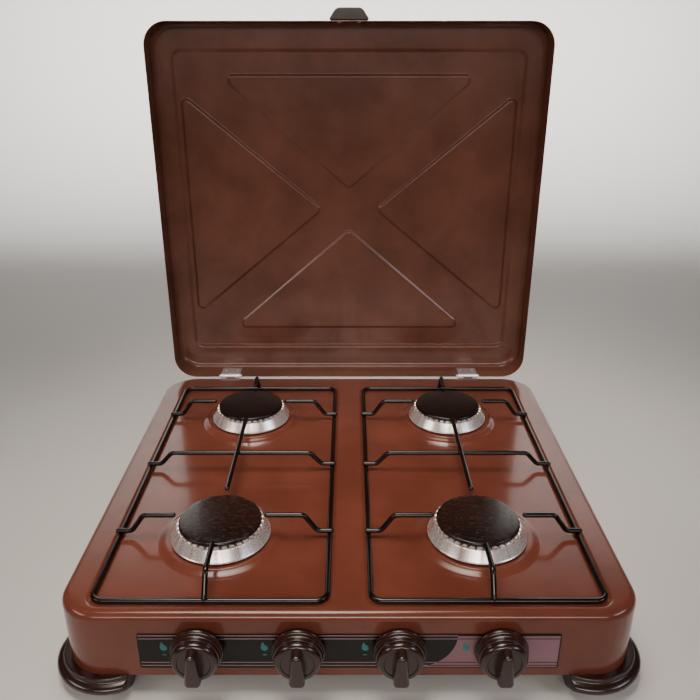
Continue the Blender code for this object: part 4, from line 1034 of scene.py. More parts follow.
@dataclass
class EnamelledTub:
    """The deep-drawn tub: plate with two wells and four collars, walls and the return flange below."""

    width: float = 560.0 * MM
    depth: float = 519.0 * MM
    bottom: float = 21.0 * MM
    corner: float = 42.0 * MM
    edge: float = 8.0 * MM
    lower_edge: float = 2.5 * MM
    flange: float = 9.0 * MM
    gusset: float = 80.0 * MM
    well_depth: float = 1.5 * MM
    well_slope: float = 5.0 * MM
    well_inner_x: float = 13.75 * MM
    well_outer_x: float = 253.25 * MM
    well_front_y: float = -248.85 * MM
    well_back_y: float = 222.55 * MM
    well_corner: float = 15.5 * MM
    collar_foot: float = 68.0 * MM
    collar_top: float = 57.0 * MM
    collar_rise: float = 1.5 * MM
    burner_hole: float = 26.0 * MM
    lip_bend: float = 1.0 * MM
    spindle_hole: float = 6.0 * MM
    spindle_level: float = 59.0 * MM
    inlet: tuple[float, float, float] = (215.0 * MM, 40.0 * MM, 7.3 * MM)
    screw_hole: float = 2.3 * MM

    def build(self) -> bpy.types.Object:
        """Draw the whole skin from the outline of its plate and give it its wall.

        Returns:
            The tub.
        """
        bm = bmesh.new()
        top = self.plate_outline(bm)
        skirt = [edge for edge in bm.edges if edge.is_boundary]
        plate_loops = [open_face(bm, top)]
        for side in Side:
            plate_loops.append(self.well(bm, side))
        fill_between(bm, plate_loops, Vector((0, 0, 1)))
        self.walls(bm, skirt)
        self.wall_holes(bm)
        bmesh.ops.recalc_face_normals(bm, faces=bm.faces)
        highest = max(bm.faces, key=lambda face: face.calc_center_median().z)
        if highest.normal.z < 0:
            bmesh.ops.reverse_faces(bm, faces=bm.faces)
        return finished("enamelled_tub", bm, PLATE_ENAMEL, "base", ["hob_body"], wall=SHEET)

    def plate_outline(self, bm: BMesh) -> BMFace:
        """Start with the body's outline and round it over into the plate.

        Args:
            bm: The mesh that gets it.

        Returns:
            The level face inside the rounding.
        """
        outline = rounded_face(
            bm, self.width, self.depth, self.corner, 14, Vector((0, 0, PLATE_TOP - self.edge))
        )
        return inset_steps(bm, outline, rounding(self.edge, 8))

    def well(self, bm: BMesh, side: Side) -> list[BMEdge]:
        """Press one well with its two collars.

        Args:
            bm: The mesh that gets it.
            side: The half that it lies in.

        Returns:
            The edges of its rim, in the plate's plane.
        """
        middle = Vector(
            (
                side.value * (self.well_inner_x + self.well_outer_x) / 2,
                (self.well_front_y + self.well_back_y) / 2,
                PLATE_TOP,
            )
        )
        before = set(bm.faces)
        face = rounded_face(
            bm,
            self.well_outer_x - self.well_inner_x,
            self.well_back_y - self.well_front_y,
            self.well_corner,
            8,
            middle,
        )
        floor = inset_steps(bm, face, pressing(self.well_slope, -self.well_depth, 6))
        rim = free_edges(bm, before)
        loops = [open_face(bm, floor)]
        for burner in Burner:
            if burner.side is side:
                loops.append(self.collar(bm, burner))
        fill_between(bm, loops, Vector((0, 0, 1)))
        return rim

    def collar(self, bm: BMesh, burner: Burner) -> list[BMEdge]:
        """Raise the collar round one burner hole and turn the hole's lip down.

        Args:
            bm: The mesh that gets it.
            burner: The burner.

        Returns:
            The edges of its foot, in the well's floor.
        """
        middle = burner.middle + Vector((0, 0, PLATE_TOP - self.well_depth))
        foot = ring(bm, self.collar_foot, middle, 96)
        slope = self.collar_foot - self.collar_top
        rise = self.well_depth + self.collar_rise
        land = drawn_ring(bm, foot, middle, pressing(slope, rise, 8), self.collar_foot)
        inward = self.collar_top - self.burner_hole - self.lip_bend
        hole = drawn_ring(bm, land, middle, [(inward, 0)], self.collar_top)
        lip = [(run, -fall) for fall, run in rounding(self.lip_bend, 3)]
        drawn_ring(bm, hole, middle, lip, self.burner_hole + self.lip_bend)
        return foot

    def walls(self, bm: BMesh, skirt: list[BMEdge]) -> None:
        """Draw the walls down and turn the return flange inwards, with its corner gussets.

        Args:
            bm: The mesh that holds the plate.
            skirt: The lower edges of the plate's rounding.
        """
        made = bmesh.ops.extrude_edge_only(bm, edges=skirt)["geom"]
        verts = [item for item in made if isinstance(item, BMVert)]
        fall = self.bottom + self.lower_edge - (PLATE_TOP - self.edge)
        bmesh.ops.translate(bm, vec=(0, 0, fall), verts=verts)
        members = set(verts)
        lower = [item for item in made if isinstance(item, BMEdge) and set(item.verts) <= members]
        before = set(bm.faces)
        bmesh.ops.contextual_create(bm, geom=lower)
        floor = next(face for face in bm.faces if face not in before)
        floor.normal_update()
        if floor.normal.z > 0:
            floor.normal_flip()
        inset_steps(bm, floor, rounding(self.lower_edge, 4))
        level = self.bottom
        loops = [open_face(bm, floor)]
        half_x = self.width / 2 - self.flange
        half_y = self.depth / 2 - self.flange
        reach = self.gusset
        corners = [
            (half_x, half_y - reach),
            (half_x - reach, half_y),
            (-half_x + reach, half_y),
            (-half_x, half_y - reach),
            (-half_x, -half_y + reach),
            (-half_x + reach, -half_y),
            (half_x - reach, -half_y),
            (half_x, -half_y + reach),
        ]
        loops.append(open_face(bm, outline_face(bm, corners, level)))
        for x_sign in (-1, 1):
            for y_sign in (-1, 1):
                middle = Vector(
                    (x_sign * (self.width / 2 - self.corner), y_sign * (self.depth / 2 - self.corner), level)
                )
                loops.append(ring(bm, self.screw_hole, middle, 20))
        fill_between(bm, loops, Vector((0, 0, -1)))

    def wall_holes(self, bm: BMesh) -> None:
        """Open the front wall for the four spindles and the back wall for the hose tail.

        Args:
            bm: The mesh that holds the walls.
        """
        for face_y, sign in ((-self.depth / 2, -1), (self.depth / 2, 1)):
            flat = [
                face
                for face in bm.faces
                if abs(face.normal.y) > WALL_NORMAL
                and abs(face.calc_center_median().y - face_y) < SAME_PLANE
            ]
            wall = max(flat, key=lambda face: face.calc_area())
            loops = [open_face(bm, wall)]
            facing = Vector((0, sign, 0))
            if sign < 0:
                for burner in Burner:
                    middle = Vector((burner.knob_x, face_y, self.spindle_level))
                    loops.append(ring(bm, self.spindle_hole, middle, HOLE_FACETS, facing))
            else:
                x, level, radius = self.inlet
                loops.append(ring(bm, radius, Vector((x, face_y, level)), HOLE_FACETS, facing))
            fill_between(bm, loops, facing)


@dataclass
class PressedLid:
    """The lid: a drawn pan with a raised field, in which four triangles are pressed back, on two hinges."""

    hinge_y: float = 260.0 * MM
    hinge_level: float = 98.5 * MM
    width: float = 543.5 * MM
    length: float = 512.5 * MM
    depth: float = 39.0 * MM
    corner: float = 32.0 * MM
    edge: float = 9.0 * MM
    rim_level: float = -2.0 * MM
    field_width: float = 496.0 * MM
    field_length: float = 446.0 * MM
    field_rise: float = 3.5 * MM
    field_slope: float = 6.0 * MM
    field_corner: float = 16.0 * MM
    triangle_sink: float = 2.5 * MM
    triangle_slope: float = 5.0 * MM
    triangle_corner: float = 9.0 * MM
    end_half: float = 170.0 * MM
    end_base: float = 190.0 * MM
    end_side: float = 14.0 * MM
    end_apex: float = 28.0 * MM
    side_half: float = 168.0 * MM
    side_base: float = 238.0 * MM
    side_apex: float = 37.0 * MM
    hem: float = 1.8 * MM
    notch_half: float = 18.0 * MM
    notch_height: float = 8.0 * MM
    hinge_x: float = 187.0 * MM
    handle_base: float = 28.0 * MM
    handle_tip: float = 17.0 * MM
    handle_reach: float = 16.0 * MM
    handle_thickness: float = 12.0 * MM
    handle_height: float = 8.0 * MM
    handle_corner: float = 5.0 * MM
    handle_edge: float = 2.4 * MM
    rivet_section: tuple[tuple[float, float], ...] = (
        (0.0, 1.4 * MM),
        (1.6 * MM, 1.2 * MM),
        (2.6 * MM, 0.6 * MM),
        (3.0 * MM, 0.0),
        (0.0, 0.0),
    )
    handle_rivet_x: float = 13.0 * MM
    leaf_rivet_x: float = 9.0 * MM
    leaf_rivet_y: float = -1.5 * MM
    leaf_rivet_level: float = 18.0 * MM
    leaf_rivet_scale: tuple[float, float] = (0.8, 0.6)

    @property
    def open_place(self) -> Matrix:
        """Where the lid goes when it stands open, from the closed place about its hinge axis."""
        return Matrix.Translation((0, self.hinge_y, self.hinge_level)) @ FACING_BACK

    @property
    def middle_y(self) -> float:
        """The middle of the closed lid, measured from the hinge axis."""
        return SHEET - self.length / 2

    def build(self) -> None:
        """Build the pan, the handle and the small hardware."""
        self.pan()
        self.handle()
        self.rivets()

    def pan(self) -> bpy.types.Object:
        """Draw the pan in its closed place and swing it open.

        Returns:
            The pan.
        """
        bm = bmesh.new()
        top = self.rim_level + self.depth
        outline = rounded_face(
            bm, self.width, self.length, self.corner, 12, Vector((0, self.middle_y, top - self.edge))
        )
        level = inset_steps(bm, outline, rounding(self.edge, 8))
        skirt = [edge for edge in bm.edges if edge.is_boundary]
        loops = [open_face(bm, level)]
        before = set(bm.faces)
        field = rounded_face(
            bm, self.field_width, self.field_length, self.field_corner, 8, Vector((0, self.middle_y, top))
        )
        raised = inset_steps(bm, field, pressing(self.field_slope, self.field_rise, 6))
        loops.append(free_edges(bm, before))
        fill_between(bm, loops, Vector((0, 0, 1)))
        loops = [open_face(bm, raised)]
        for corners in self.triangles():
            path = eased_path(
                [Vector((x, y + self.middle_y, 0)) for x, y in corners], self.triangle_corner, 6, closed=True
            )
            before = set(bm.faces)
            face = outline_face(bm, [(point.x, point.y) for point in path], top + self.field_rise)
            inset_steps(bm, face, pressing(self.triangle_slope, -self.triangle_sink, 6))
            loops.append(free_edges(bm, before))
        fill_between(bm, loops, Vector((0, 0, 1)))
        self.skirt(bm, skirt, top)
        bmesh.ops.remove_doubles(bm, verts=bm.verts, dist=LID_WELD_DISTANCE)
        bmesh.ops.recalc_face_normals(bm, faces=bm.faces)
        highest = max(bm.faces, key=lambda face: face.calc_center_median().z)
        if highest.normal.z < 0:
            bmesh.ops.reverse_faces(bm, faces=bm.faces)
        bmesh.ops.transform(bm, matrix=self.open_place, verts=bm.verts)
        return finished("pressed_lid", bm, LID_ENAMEL, "lid_assembly", ["lid"], wall=SHEET)

    def triangles(self) -> list[list[tuple[float, float]]]:
        """Give the outlines of the four triangles, measured from the lid's middle.

        Returns:
            The corners of each triangle.
        """
        outlines = []
        shoulder = self.end_base - self.end_side
        for sign in (1, -1):
            outlines.append(
                [
                    (sign * -self.end_half, sign * self.end_base),
                    (sign * -self.end_half, sign * shoulder),
                    (0.0, sign * self.end_apex),
                    (sign * self.end_half, sign * shoulder),
                    (sign * self.end_half, sign * self.end_base),
                ]
            )
            outlines.append(
                [
                    (sign * self.side_base, sign * self.side_half),
                    (sign * self.side_base, sign * -self.side_half),
                    (sign * self.side_apex, 0.0),
                ]
            )
        return outlines

    def skirt(self, bm: BMesh, edges: list[BMEdge], top: float) -> None:
        """Draw the skirt straight down to the rim, with an edge loop a hem's height above the notches, and cut
        the two notches for the hinges.

        Args:
            bm: The mesh that holds the lid's top.
            edges: The lower edges of the top's rounding.
            top: The level of the border.
        """
        levels = [self.rim_level + self.hem + self.notch_height, self.rim_level]
        start = top - self.edge
        for level in levels:
            made = bmesh.ops.extrude_edge_only(bm, edges=edges)["geom"]
            verts = [item for item in made if isinstance(item, BMVert)]
            bmesh.ops.translate(bm, vec=(0, 0, level - start), verts=verts)
            members = set(verts)
            edges = [item for item in made if isinstance(item, BMEdge) and set(item.verts) <= members]
            start = level
        for sign in (-1, 1):
            for offset in (-self.notch_half, self.notch_half):
                bmesh.ops.bisect_plane(
                    bm,
                    geom=self.rear_wall(bm),
                    plane_co=(sign * self.hinge_x + offset, 0, 0),
                    plane_no=(1, 0, 0),
                )
        bmesh.ops.bisect_plane(
            bm,
            geom=self.rear_wall(bm),
            plane_co=(0, 0, self.rim_level + self.notch_height),
            plane_no=(0, 0, 1),
        )
        open_parts = [
            face
            for face in bm.faces
            if abs(face.normal.y) > FLAT_NORMAL
            and face.calc_center_median().y > 0
            and face.calc_center_median().z < self.rim_level + self.notch_height
            and abs(abs(face.calc_center_median().x) - self.hinge_x) < self.notch_half
        ]
        bmesh.ops.delete(bm, geom=open_parts, context="FACES")

    def rear_wall(self, bm: BMesh) -> list[BMVert | BMEdge | BMFace]:
        """Find the flat part of the skirt that faces the hinges.

        Args:
            bm: The mesh that holds the skirt.

        Returns:
            Its faces with their edges and vertices.
        """
        bm.normal_update()
        faces = [
            face
            for face in bm.faces
            if abs(face.normal.y) > FLAT_NORMAL
            and face.calc_center_median().y > 0
            and face.calc_center_median().z < self.rim_level + self.hem + self.notch_height
        ]
        edges = {edge for face in faces for edge in face.edges}
        verts = {vert for face in faces for vert in face.verts}
        return [*faces, *edges, *verts]

    def handle(self) -> bpy.types.Object:
        """Mould the handle that stands on the skirt's front.

        Returns:
            The handle.
        """
        bm = bmesh.new()
        root = SHEET - self.length - CLEARANCE
        low = self.rim_level + self.handle_height
        corners = [
            (-self.handle_base, root),
            (self.handle_base, root),
            (self.handle_tip, root - self.handle_reach),
            (-self.handle_tip, root - self.handle_reach),
        ]
        face = outline_face(bm, corners, low)
        face = rounded_corners(bm, face, self.handle_corner, 6)
        made = bmesh.ops.extrude_face_region(bm, geom=[face])["geom"]
        verts = [item for item in made if isinstance(item, BMVert)]
        bmesh.ops.translate(bm, vec=(0, 0, self.handle_thickness), verts=verts)
        bmesh.ops.recalc_face_normals(bm, faces=bm.faces)
        rims = [
            edge
            for edge in bm.edges
            if abs(edge.verts[0].co.z - edge.verts[1].co.z) < LID_WELD_DISTANCE
            and edge.calc_face_angle(0) > 1.0
        ]
        soft_edges(bm, rims, self.handle_edge, 4)
        bmesh.ops.transform(bm, matrix=self.open_place, verts=bm.verts)
        return finished("lid_grip", bm, DARK_PLASTIC, "lid_assembly", ["lid_handle"])

    def rivets(self) -> None:
        """Set the two rivets that hold the handle, inside the skirt, and two in each lid leaf."""
        bm = bmesh.new()
        inner = SHEET - self.length + SHEET
        middle = self.rim_level + self.handle_height + self.handle_thickness / 2
        for sign in (-1, 1):
            rivet = bmesh.new()
            spun(rivet, self.rivet_section, Vector(), 24)
            place = Matrix.Translation((sign * self.handle_rivet_x, inner, middle))
            joined(bm, rivet, place @ FACING_BACK)
        across, up = self.leaf_rivet_scale
        small = [(radius * across, height * up) for radius, height in self.rivet_section]
        for sign in (-1, 1):
            for offset in (-self.leaf_rivet_x, self.leaf_rivet_x):
                rivet = bmesh.new()
                spun(rivet, small, Vector(), 20)
                x = sign * self.hinge_x + offset
                place = Matrix.Translation((x, self.leaf_rivet_y, self.leaf_rivet_level))
                joined(bm, rivet, place @ FACING_FRONT)
        bmesh.ops.transform(bm, matrix=self.open_place, verts=bm.verts)
        finished("lid_rivets", bm, ZINC_STEEL, "lid_assembly")


@dataclass
class BurnerSet:
    """The four burners: turned cones with their crowns of flame ports, and the enamelled caps on them."""

    seat_level: float = PLATE_TOP + 1.5 * MM + CLEARANCE
    cone_foot: float = 53.0 * MM
    cone_top: float = 46.5 * MM
    crown_height: float = 13.9 * MM
    crown_inner: float = 42.5 * MM
    tooth_height: float = 3.0 * MM
    teeth: int = 36
    facets_per_tooth: int = 4
    neck: float = 17.5 * MM
    neck_bore: float = 14.5 * MM
    neck_drop: float = 22.0 * MM
    land_edge: float = 0.5 * MM
    foot_edge: float = 0.9 * MM
    seat_radius: float = 31.0 * MM
    tooth_steps: tuple[tuple[float, float], ...] = ((0.55, 1.0), (0.3, 0.9), (0.15, 0.72))
    cap_radius: float = 44.0 * MM
    cap_edge: float = 2.2 * MM
    cap_roll: float = 1.3 * MM
    cap_rounding: float = 2.4 * MM
    cap_lower_edge: float = 0.6 * MM
    cap_border: float = 4.4 * MM
    cap_step: float = 0.12 * MM
    cap_dome: float = 1.2 * MM
    dome_steps: tuple[tuple[float, float], ...] = ((0.0, 1.0), (0.35, 0.93), (0.62, 0.7), (0.82, 0.38))
    plug_depth: float = 2.4 * MM
    plug_chamfer: float = 0.4 * MM

    def build(self) -> None:
        """Build each burner's head and cap."""
        for burner in Burner:
            self.head(burner)
            self.cap(burner)

    def head(self, burner: Burner) -> bpy.types.Object:
        """Turn a burner head and raise the teeth of its crown.

        Args:
            burner: The burner.

        Returns:
            The head.
        """
        bm = bmesh.new()
        top = self.crown_height
        profile = [
            *arc((self.cone_top - self.land_edge, top - self.land_edge), self.land_edge, 80, 20, 2),
            (self.cone_foot - 1.2 * MM, 3.6 * MM),
            *arc((self.cone_foot - self.foot_edge, 2.3 * MM), self.foot_edge, 40, -60, 4),
            (self.cone_foot - 2.0 * MM, 1.5 * MM),
            (self.seat_radius, 0.0),
            (self.neck, 0.0),
            (self.neck, -self.neck_drop),
            (self.neck_bore, -self.neck_drop),
            (self.neck_bore, top - 5.0 * MM),
            (self.crown_inner - 1.0 * MM, top - 1.2 * MM),
            (self.crown_inner, top),
        ]
        spun(bm, profile, Vector(), self.teeth * self.facets_per_tooth)
        self.raise_teeth(bm)
        place = burner.middle + Vector((0, 0, self.seat_level))
        bmesh.ops.translate(bm, vec=place, verts=bm.verts)
        finish = TurnedAluminium(
            "turned_aluminium_" + burner.word,
            "cast_aluminium",
            "#f3efed",
            roughness=0.22,
            axis_x=burner.middle.x,
            axis_y=burner.middle.y,
        )
        return finished("cone_" + burner.word, bm, finish, "base", ["burner_head_" + burner.word], bend=28)

    def raise_teeth(self, bm: BMesh) -> None:
        """Draw up the crown's ring into teeth, so that the gaps between them are the flame ports.

        Args:
            bm: The turned head, about its own axis.
        """
        land = [
            face
            for face in bm.faces
            if abs(face.calc_center_median().z - self.crown_height) < SAME_PLANE / 2
            and face.normal.z > FLAT_NORMAL
        ]
        land.sort(key=lambda face: math.atan2(face.calc_center_median().y, face.calc_center_median().x))
        solid_facets = self.facets_per_tooth - 1
        groups = [
            land[start : start + solid_facets] for start in range(0, len(land), self.facets_per_tooth)
        ]
        for group in groups:
            old = list(group)
            for rise, share in self.tooth_steps:
                made = bmesh.ops.extrude_face_region(bm, geom=group)["geom"]
                verts = [item for item in made if isinstance(item, BMVert)]
                bmesh.ops.translate(bm, vec=(0, 0, self.tooth_height * rise), verts=verts)
                middle = sum((vert.co for vert in verts), Vector()) / len(verts)
                bmesh.ops.scale(bm, vec=(share, share, 1), space=Matrix.Translation(-middle), verts=verts)
                bmesh.ops.delete(bm, geom=[face for face in old if face.is_valid], context="FACES")
                group = [item for item in made if isinstance(item, BMFace)]
                old = list(group)
        bmesh.ops.recalc_face_normals(bm, faces=bm.faces)

    def cap(self, burner: Burner) -> bpy.types.Object:
        """Turn a cap with a rolled rim, a shallow dome and the plug that centres it.

        Args:
            burner: The burner.

        Returns:
            The cap.
        """
        bm = bmesh.new()
        rim = self.cap_radius
        edge = self.cap_rounding
        low_edge = self.cap_lower_edge
        crown = self.cap_edge + self.cap_roll
        plug = self.crown_inner - CLEARANCE
        profile = [
            *((rim * across, crown + self.cap_dome * up) for across, up in self.dome_steps),
            (rim - self.cap_border, crown + self.cap_step),
            *arc((rim - edge, crown - edge), edge, 72, 0, 5),
            *arc((rim - low_edge, low_edge), low_edge, 0, -90, 3),
            (plug, 0.0),
            (plug, self.plug_chamfer - self.plug_depth),
            (plug - self.plug_chamfer, -self.plug_depth),
            (0, -self.plug_depth),
        ]
        spun(bm, profile, Vector(), 128)
        seat = self.seat_level + self.crown_height + self.tooth_height + CLEARANCE
        bmesh.ops.translate(bm, vec=burner.middle + Vector((0, 0, seat)), verts=bm.verts)
        finish = USED_CAP_ENAMEL if burner in (Burner.FRONT_LEFT, Burner.FRONT_RIGHT) else CAP_ENAMEL
        return finished(
            "cap_" + burner.word, bm, finish, "cap_" + burner.word, ["burner_cap_" + burner.word], bend=40
        )


@dataclass
class PanSupport:
    """One welded wire grid: a frame in the well, a raised crossbar and long bar, and six fingers."""

    side: Side
    wire: float = 2.75 * MM
    inner_x: float = 21.0 * MM
    outer_x: float = 246.0 * MM
    front_y: float = -241.6 * MM
    back_y: float = 215.3 * MM
    corner: float = 11.0 * MM
    frame_level: float = PLATE_TOP - 1.5 * MM + CLEARANCE + 2.75 * MM
    top_level: float = PLATE_TOP + 29.0 * MM - 2.75 * MM
    weld_sink: float = 0.9 * MM
    stub: float = 4.5 * MM
    low_run: float = 17.5 * MM
    rise_run: float = 14.0 * MM
    finger_reach: float = 47.0 * MM
    bend: float = 7.0 * MM
    crossbar_y: float = -5.6 * MM

    @property
    def low_level(self) -> float:
        """The middle of a rod that lies welded on the frame."""
        return self.frame_level + 2 * self.wire - self.weld_sink

    @property
    def crossbar_level(self) -> float:
        """The middle of the crossbar under the long bar."""
        return self.top_level - 2 * self.wire + self.weld_sink

    def build(self) -> bpy.types.Object:
        """Bend and weld all the rods.

        Returns:
            The pan support.
        """
        bm = bmesh.new()
        inner = self.side.value * self.inner_x
        outer = self.side.value * self.outer_x
        corners = [(inner, self.front_y), (outer, self.front_y), (outer, self.back_y), (inner, self.back_y)]
        frame = [Vector((x, y, self.frame_level)) for x, y in corners]
        swept_rod(bm, eased_path(frame, self.corner, 8, closed=True), self.wire, closed=True)
        for burner in Burner:
            if burner.side is self.side:
                self.fingers(bm, burner, inner, outer)
        self.crossbar(bm, inner, outer)
        self.long_bar(bm)
        node = "pan_support_" + self.side.word
        return finished(
            "wire_grid_" + self.side.word, bm, WIRE_ENAMEL, "support_" + self.side.word, [node], bend=60
        )

    def raised(self, start: Vector, along: Vector, low_run: float, end: float, high: float) -> list[Vector]:
        """Give the path of a rod that starts low, rises and runs level.

        Args:
            start: Where it starts, seen from above.
            along: The way it runs.
            low_run: How far it stays low.
            end: How long it is, seen from above.
            high: The level that it rises to.

        Returns:
            The eased path.
        """
        low = self.low_level
        corners = []
        for distance, level in ((0.0, low), (low_run, low), (low_run + self.rise_run, high), (end, high)):
            point = start + along * distance
            corners.append(Vector((point.x, point.y, level)))
        return eased_path(corners, self.bend, 6)

    def fingers(self, bm: BMesh, burner: Burner, inner: float, outer: float) -> None:
        """Set the three fingers that point at one burner.

        Args:
            bm: The mesh that gets them.
            burner: The burner.
            inner: The frame's bar near the middle of the cooker, along X.
            outer: The frame's bar near the side, along X.
        """
        middle = burner.middle
        for edge_x in (inner, outer):
            way = Vector((1 if edge_x < middle.x else -1, 0, 0))
            start = Vector((edge_x, middle.y, 0)) - way * self.stub
            end = abs(middle.x - edge_x) + self.stub - self.finger_reach
            swept_rod(bm, self.raised(start, way, self.low_run, end, self.top_level), self.wire)
        edge_y = self.front_y if middle.y < 0 else self.back_y
        way = Vector((0, 1 if middle.y < 0 else -1, 0))
        start = Vector((middle.x, edge_y, 0)) - way * self.stub
        end = abs(middle.y - edge_y) + self.stub - self.finger_reach
        swept_rod(bm, self.raised(start, way, self.stub, end, self.top_level), self.wire)

    def crossbar(self, bm: BMesh, inner: float, outer: float) -> None:
        """Set the bar that crosses between the two burners, low at both ends.

        Args:
            bm: The mesh that gets it.
            inner: The frame's bar near the middle of the cooker, along X.
            outer: The frame's bar near the side, along X.
        """
        way = 1 if inner < outer else -1
        first = inner - way * self.stub
        last = outer + way * self.stub
        low, high = self.low_level, self.crossbar_level
        places = [
            (first, low),
            (first + way * self.low_run, low),
            (first + way * (self.low_run + self.rise_run), high),
            (last - way * (self.low_run + self.rise_run), high),
            (last - way * self.low_run, low),
            (last, low),
        ]
        corners = [Vector((x, self.crossbar_y, level)) for x, level in places]
        swept_rod(bm, eased_path(corners, self.bend, 6), self.wire)

    def long_bar(self, bm: BMesh) -> None:
        """Set the level bar that runs from one burner to the other over the crossbar.

        Args:
            bm: The mesh that gets it.
        """
        front, back = [burner.middle for burner in Burner if burner.side is self.side]
        if front.y > back.y:
            front, back = back, front
        start = Vector((front.x, front.y + self.finger_reach, self.top_level))
        end = Vector((back.x, back.y - self.finger_reach, self.top_level))
        swept_rod(bm, [start, start.lerp(end, 0.5), end], self.wire)


@dataclass
class ControlFront:
    """The printed strip on the front wall and the four knobs."""

    front_y: float = -259.5 * MM
    axis_level: float = 59.0 * MM
    strip_width: float = 400.0 * MM
    strip_height: float = 41.2 * MM
    strip_level: float = PLATE_TOP - 42.5 * MM
    strip_thickness: float = 0.8 * MM
    strip_corner: float = 1.5 * MM
    spindle_hole: float = 6.0 * MM
    print_clearance: float = 0.5 * MM
    print_height: float = 0.06 * MM
    line_width: float = 0.9 * MM
    line_inset: float = 1.2 * MM
    lower_line_inset: float = 3.2 * MM
    line_gap: float = 3.8 * MM
    print_margin: float = 1.2 * MM
    sweep_x: float = 63.5 * MM
    knob_back: float = 5.0 * MM
    knob_flange: float = 25.5 * MM
    knob_drum: float = 23.2 * MM
    knob_ring: float = 22.0 * MM
    knob_rim: float = 16.4 * MM
    knob_face: float = 22.3 * MM
    knob_front: float = 35.0 * MM
    grip_top_half: float = 4.5 * MM
    grip_top: float = 20.0 * MM
    grip_low_half: float = 8.3 * MM
    grip_low: float = -17.5 * MM
    grip_corner: float = 4.3 * MM
    grip_edge: float = 3.0 * MM
    grip_draft: tuple[float, float, float] = (0.93, 0.97, 1.0)
    groove_radius: float = 21.0 * MM
    groove_level: float = 17.0 * MM
    shoulder_level: float = 18.2 * MM
    boss_bore: float = 3.4 * MM
    boss_depth: float = 17.0 * MM
    flame_height: float = 12.0 * MM
    flame_width: float = 7.0 * MM
    flame_offset: float = 32.5 * MM
    flame_rise: float = 1.0 * MM
    flame_corner: float = 2.2 * MM
    flame_shape: tuple[tuple[float, float], ...] = (
        (0.1, -1.0),
        (1.0, -0.62),
        (0.8, -0.05),
        (-0.1, 0.45),
        (-0.35, 1.0),
        (-0.95, 0.1),
        (-0.9, -0.6),
    )
    bar_width: float = 3.6 * MM
    bar_height: float = 1.0 * MM
    bar_drop: float = 9.5 * MM

    def build(self) -> None:
        """Build the strip, its print and the knobs."""
        self.strip()
        self.lines()
        self.rose_panel()
        self.flame_marks()
        for burner in Burner:
            self.knob(burner)

    @property
    def face_y(self) -> float:
        """The strip's front face."""
        return self.front_y - CLEARANCE - self.strip_thickness

    def strip(self) -> bpy.types.Object:
        """Cut the strip from sheet, with round corners and a hole for each spindle.

        Returns:
            The strip.
        """
        bm = bmesh.new()
        face = rounded_face(bm, self.strip_width, self.strip_height, self.strip_corner, 4, Vector())
        loops = [open_face(bm, face)]
        drop = self.axis_level - self.strip_level
        for burner in Burner:
            loops.append(ring(bm, self.spindle_hole, Vector((burner.knob_x, drop, 0)), HOLE_FACETS))
        sheet = fill_between(bm, loops, Vector((0, 0, 1)))
        made = bmesh.ops.extrude_face_region(bm, geom=sheet, use_keep_orig=True)["geom"]
        verts = [item for item in made if isinstance(item, BMVert)]
        bmesh.ops.translate(bm, vec=(0, 0, self.strip_thickness), verts=verts)
        bmesh.ops.recalc_face_normals(bm, faces=bm.faces)
        self.stand_up(bm, self.front_y - CLEARANCE)
        return finished("printed_strip", bm, STRIP_BLACK, "base", ["control_strip"])

    def stand_up(self, bm: BMesh, back_y: float) -> None:
        """Turn a shape drawn flat on the ground to face the front, at the strip's level.

        Args:
            bm: The shape, with its lower face at zero.
            back_y: Where that face goes.
        """
        place = Matrix.Translation((0, back_y, self.strip_level)) @ FACING_FRONT
        bmesh.ops.transform(bm, matrix=place, verts=bm.verts)

    def panel_edge(self, level: float) -> float:
        """Give the place along X where the rose panel starts: its left edge is a quarter circle.

        Args:
            level: The height above the strip's middle.

        Returns:
            The place of the panel's edge at that height.
        """
        half = self.strip_height / 2 - self.print_margin
        return self.sweep_x + math.sqrt((2 * half) ** 2 - (level - half) ** 2)

    def lines(self) -> None:
        """Print two pairs of thin lines along the strip, silver on the black and black on the rose."""
        end = self.strip_width / 2 - self.line_inset
        silver = bmesh.new()
        black = bmesh.new()
        for sign, inset in ((-1, self.lower_line_inset), (1, self.line_inset)):
            for index in range(2):
                level = sign * (self.strip_height / 2 - inset - index * self.line_gap)
                edge = self.panel_edge(level)
                for bm, low, high in ((silver, -end, edge), (black, edge, end)):
                    soft_block(
                        bm,
                        (high - low, self.line_width, 2 * self.print_height),
                        Vector(((low + high) / 2, level, self.print_height)),
                        self.print_height / 4,
                        1,
                    )
        for name, bm, finish in (
            ("silver_lines", silver, STRIP_SILVER),
            ("black_lines", black, STRIP_BLACK),
        ):
            self.stand_up(bm, self.face_y)
            finished(name, bm, finish, "base")

    def rose_panel(self) -> None:
        """Print the plain rose-silver panel at the strip's right end, with its left edge swept."""
        bm = bmesh.new()
        half = self.strip_height / 2 - self.print_margin
        end = self.strip_width / 2 - self.print_margin
        outline = arc((self.sweep_x, half), 2 * half, -90, 0, 16)
        outline += [(end, half), (end, -half)]
        loops = [open_face(bm, outline_face(bm, outline, 0.0))]
        spindle = Vector((Burner.FRONT_RIGHT.knob_x, self.axis_level - self.strip_level, 0))
        loops.append(ring(bm, self.spindle_hole + self.print_clearance, spindle, HOLE_FACETS))
        sheet = fill_between(bm, loops, Vector((0, 0, 1)))
        made = bmesh.ops.extrude_face_region(bm, geom=sheet, use_keep_orig=True)["geom"]
        verts = [item for item in made if isinstance(item, BMVert)]
        bmesh.ops.translate(bm, vec=(0, 0, self.print_height), verts=verts)
        bmesh.ops.recalc_face_normals(bm, faces=bm.faces)
        self.stand_up(bm, self.face_y)
        finished("rose_panel", bm, STRIP_ROSE, "base")

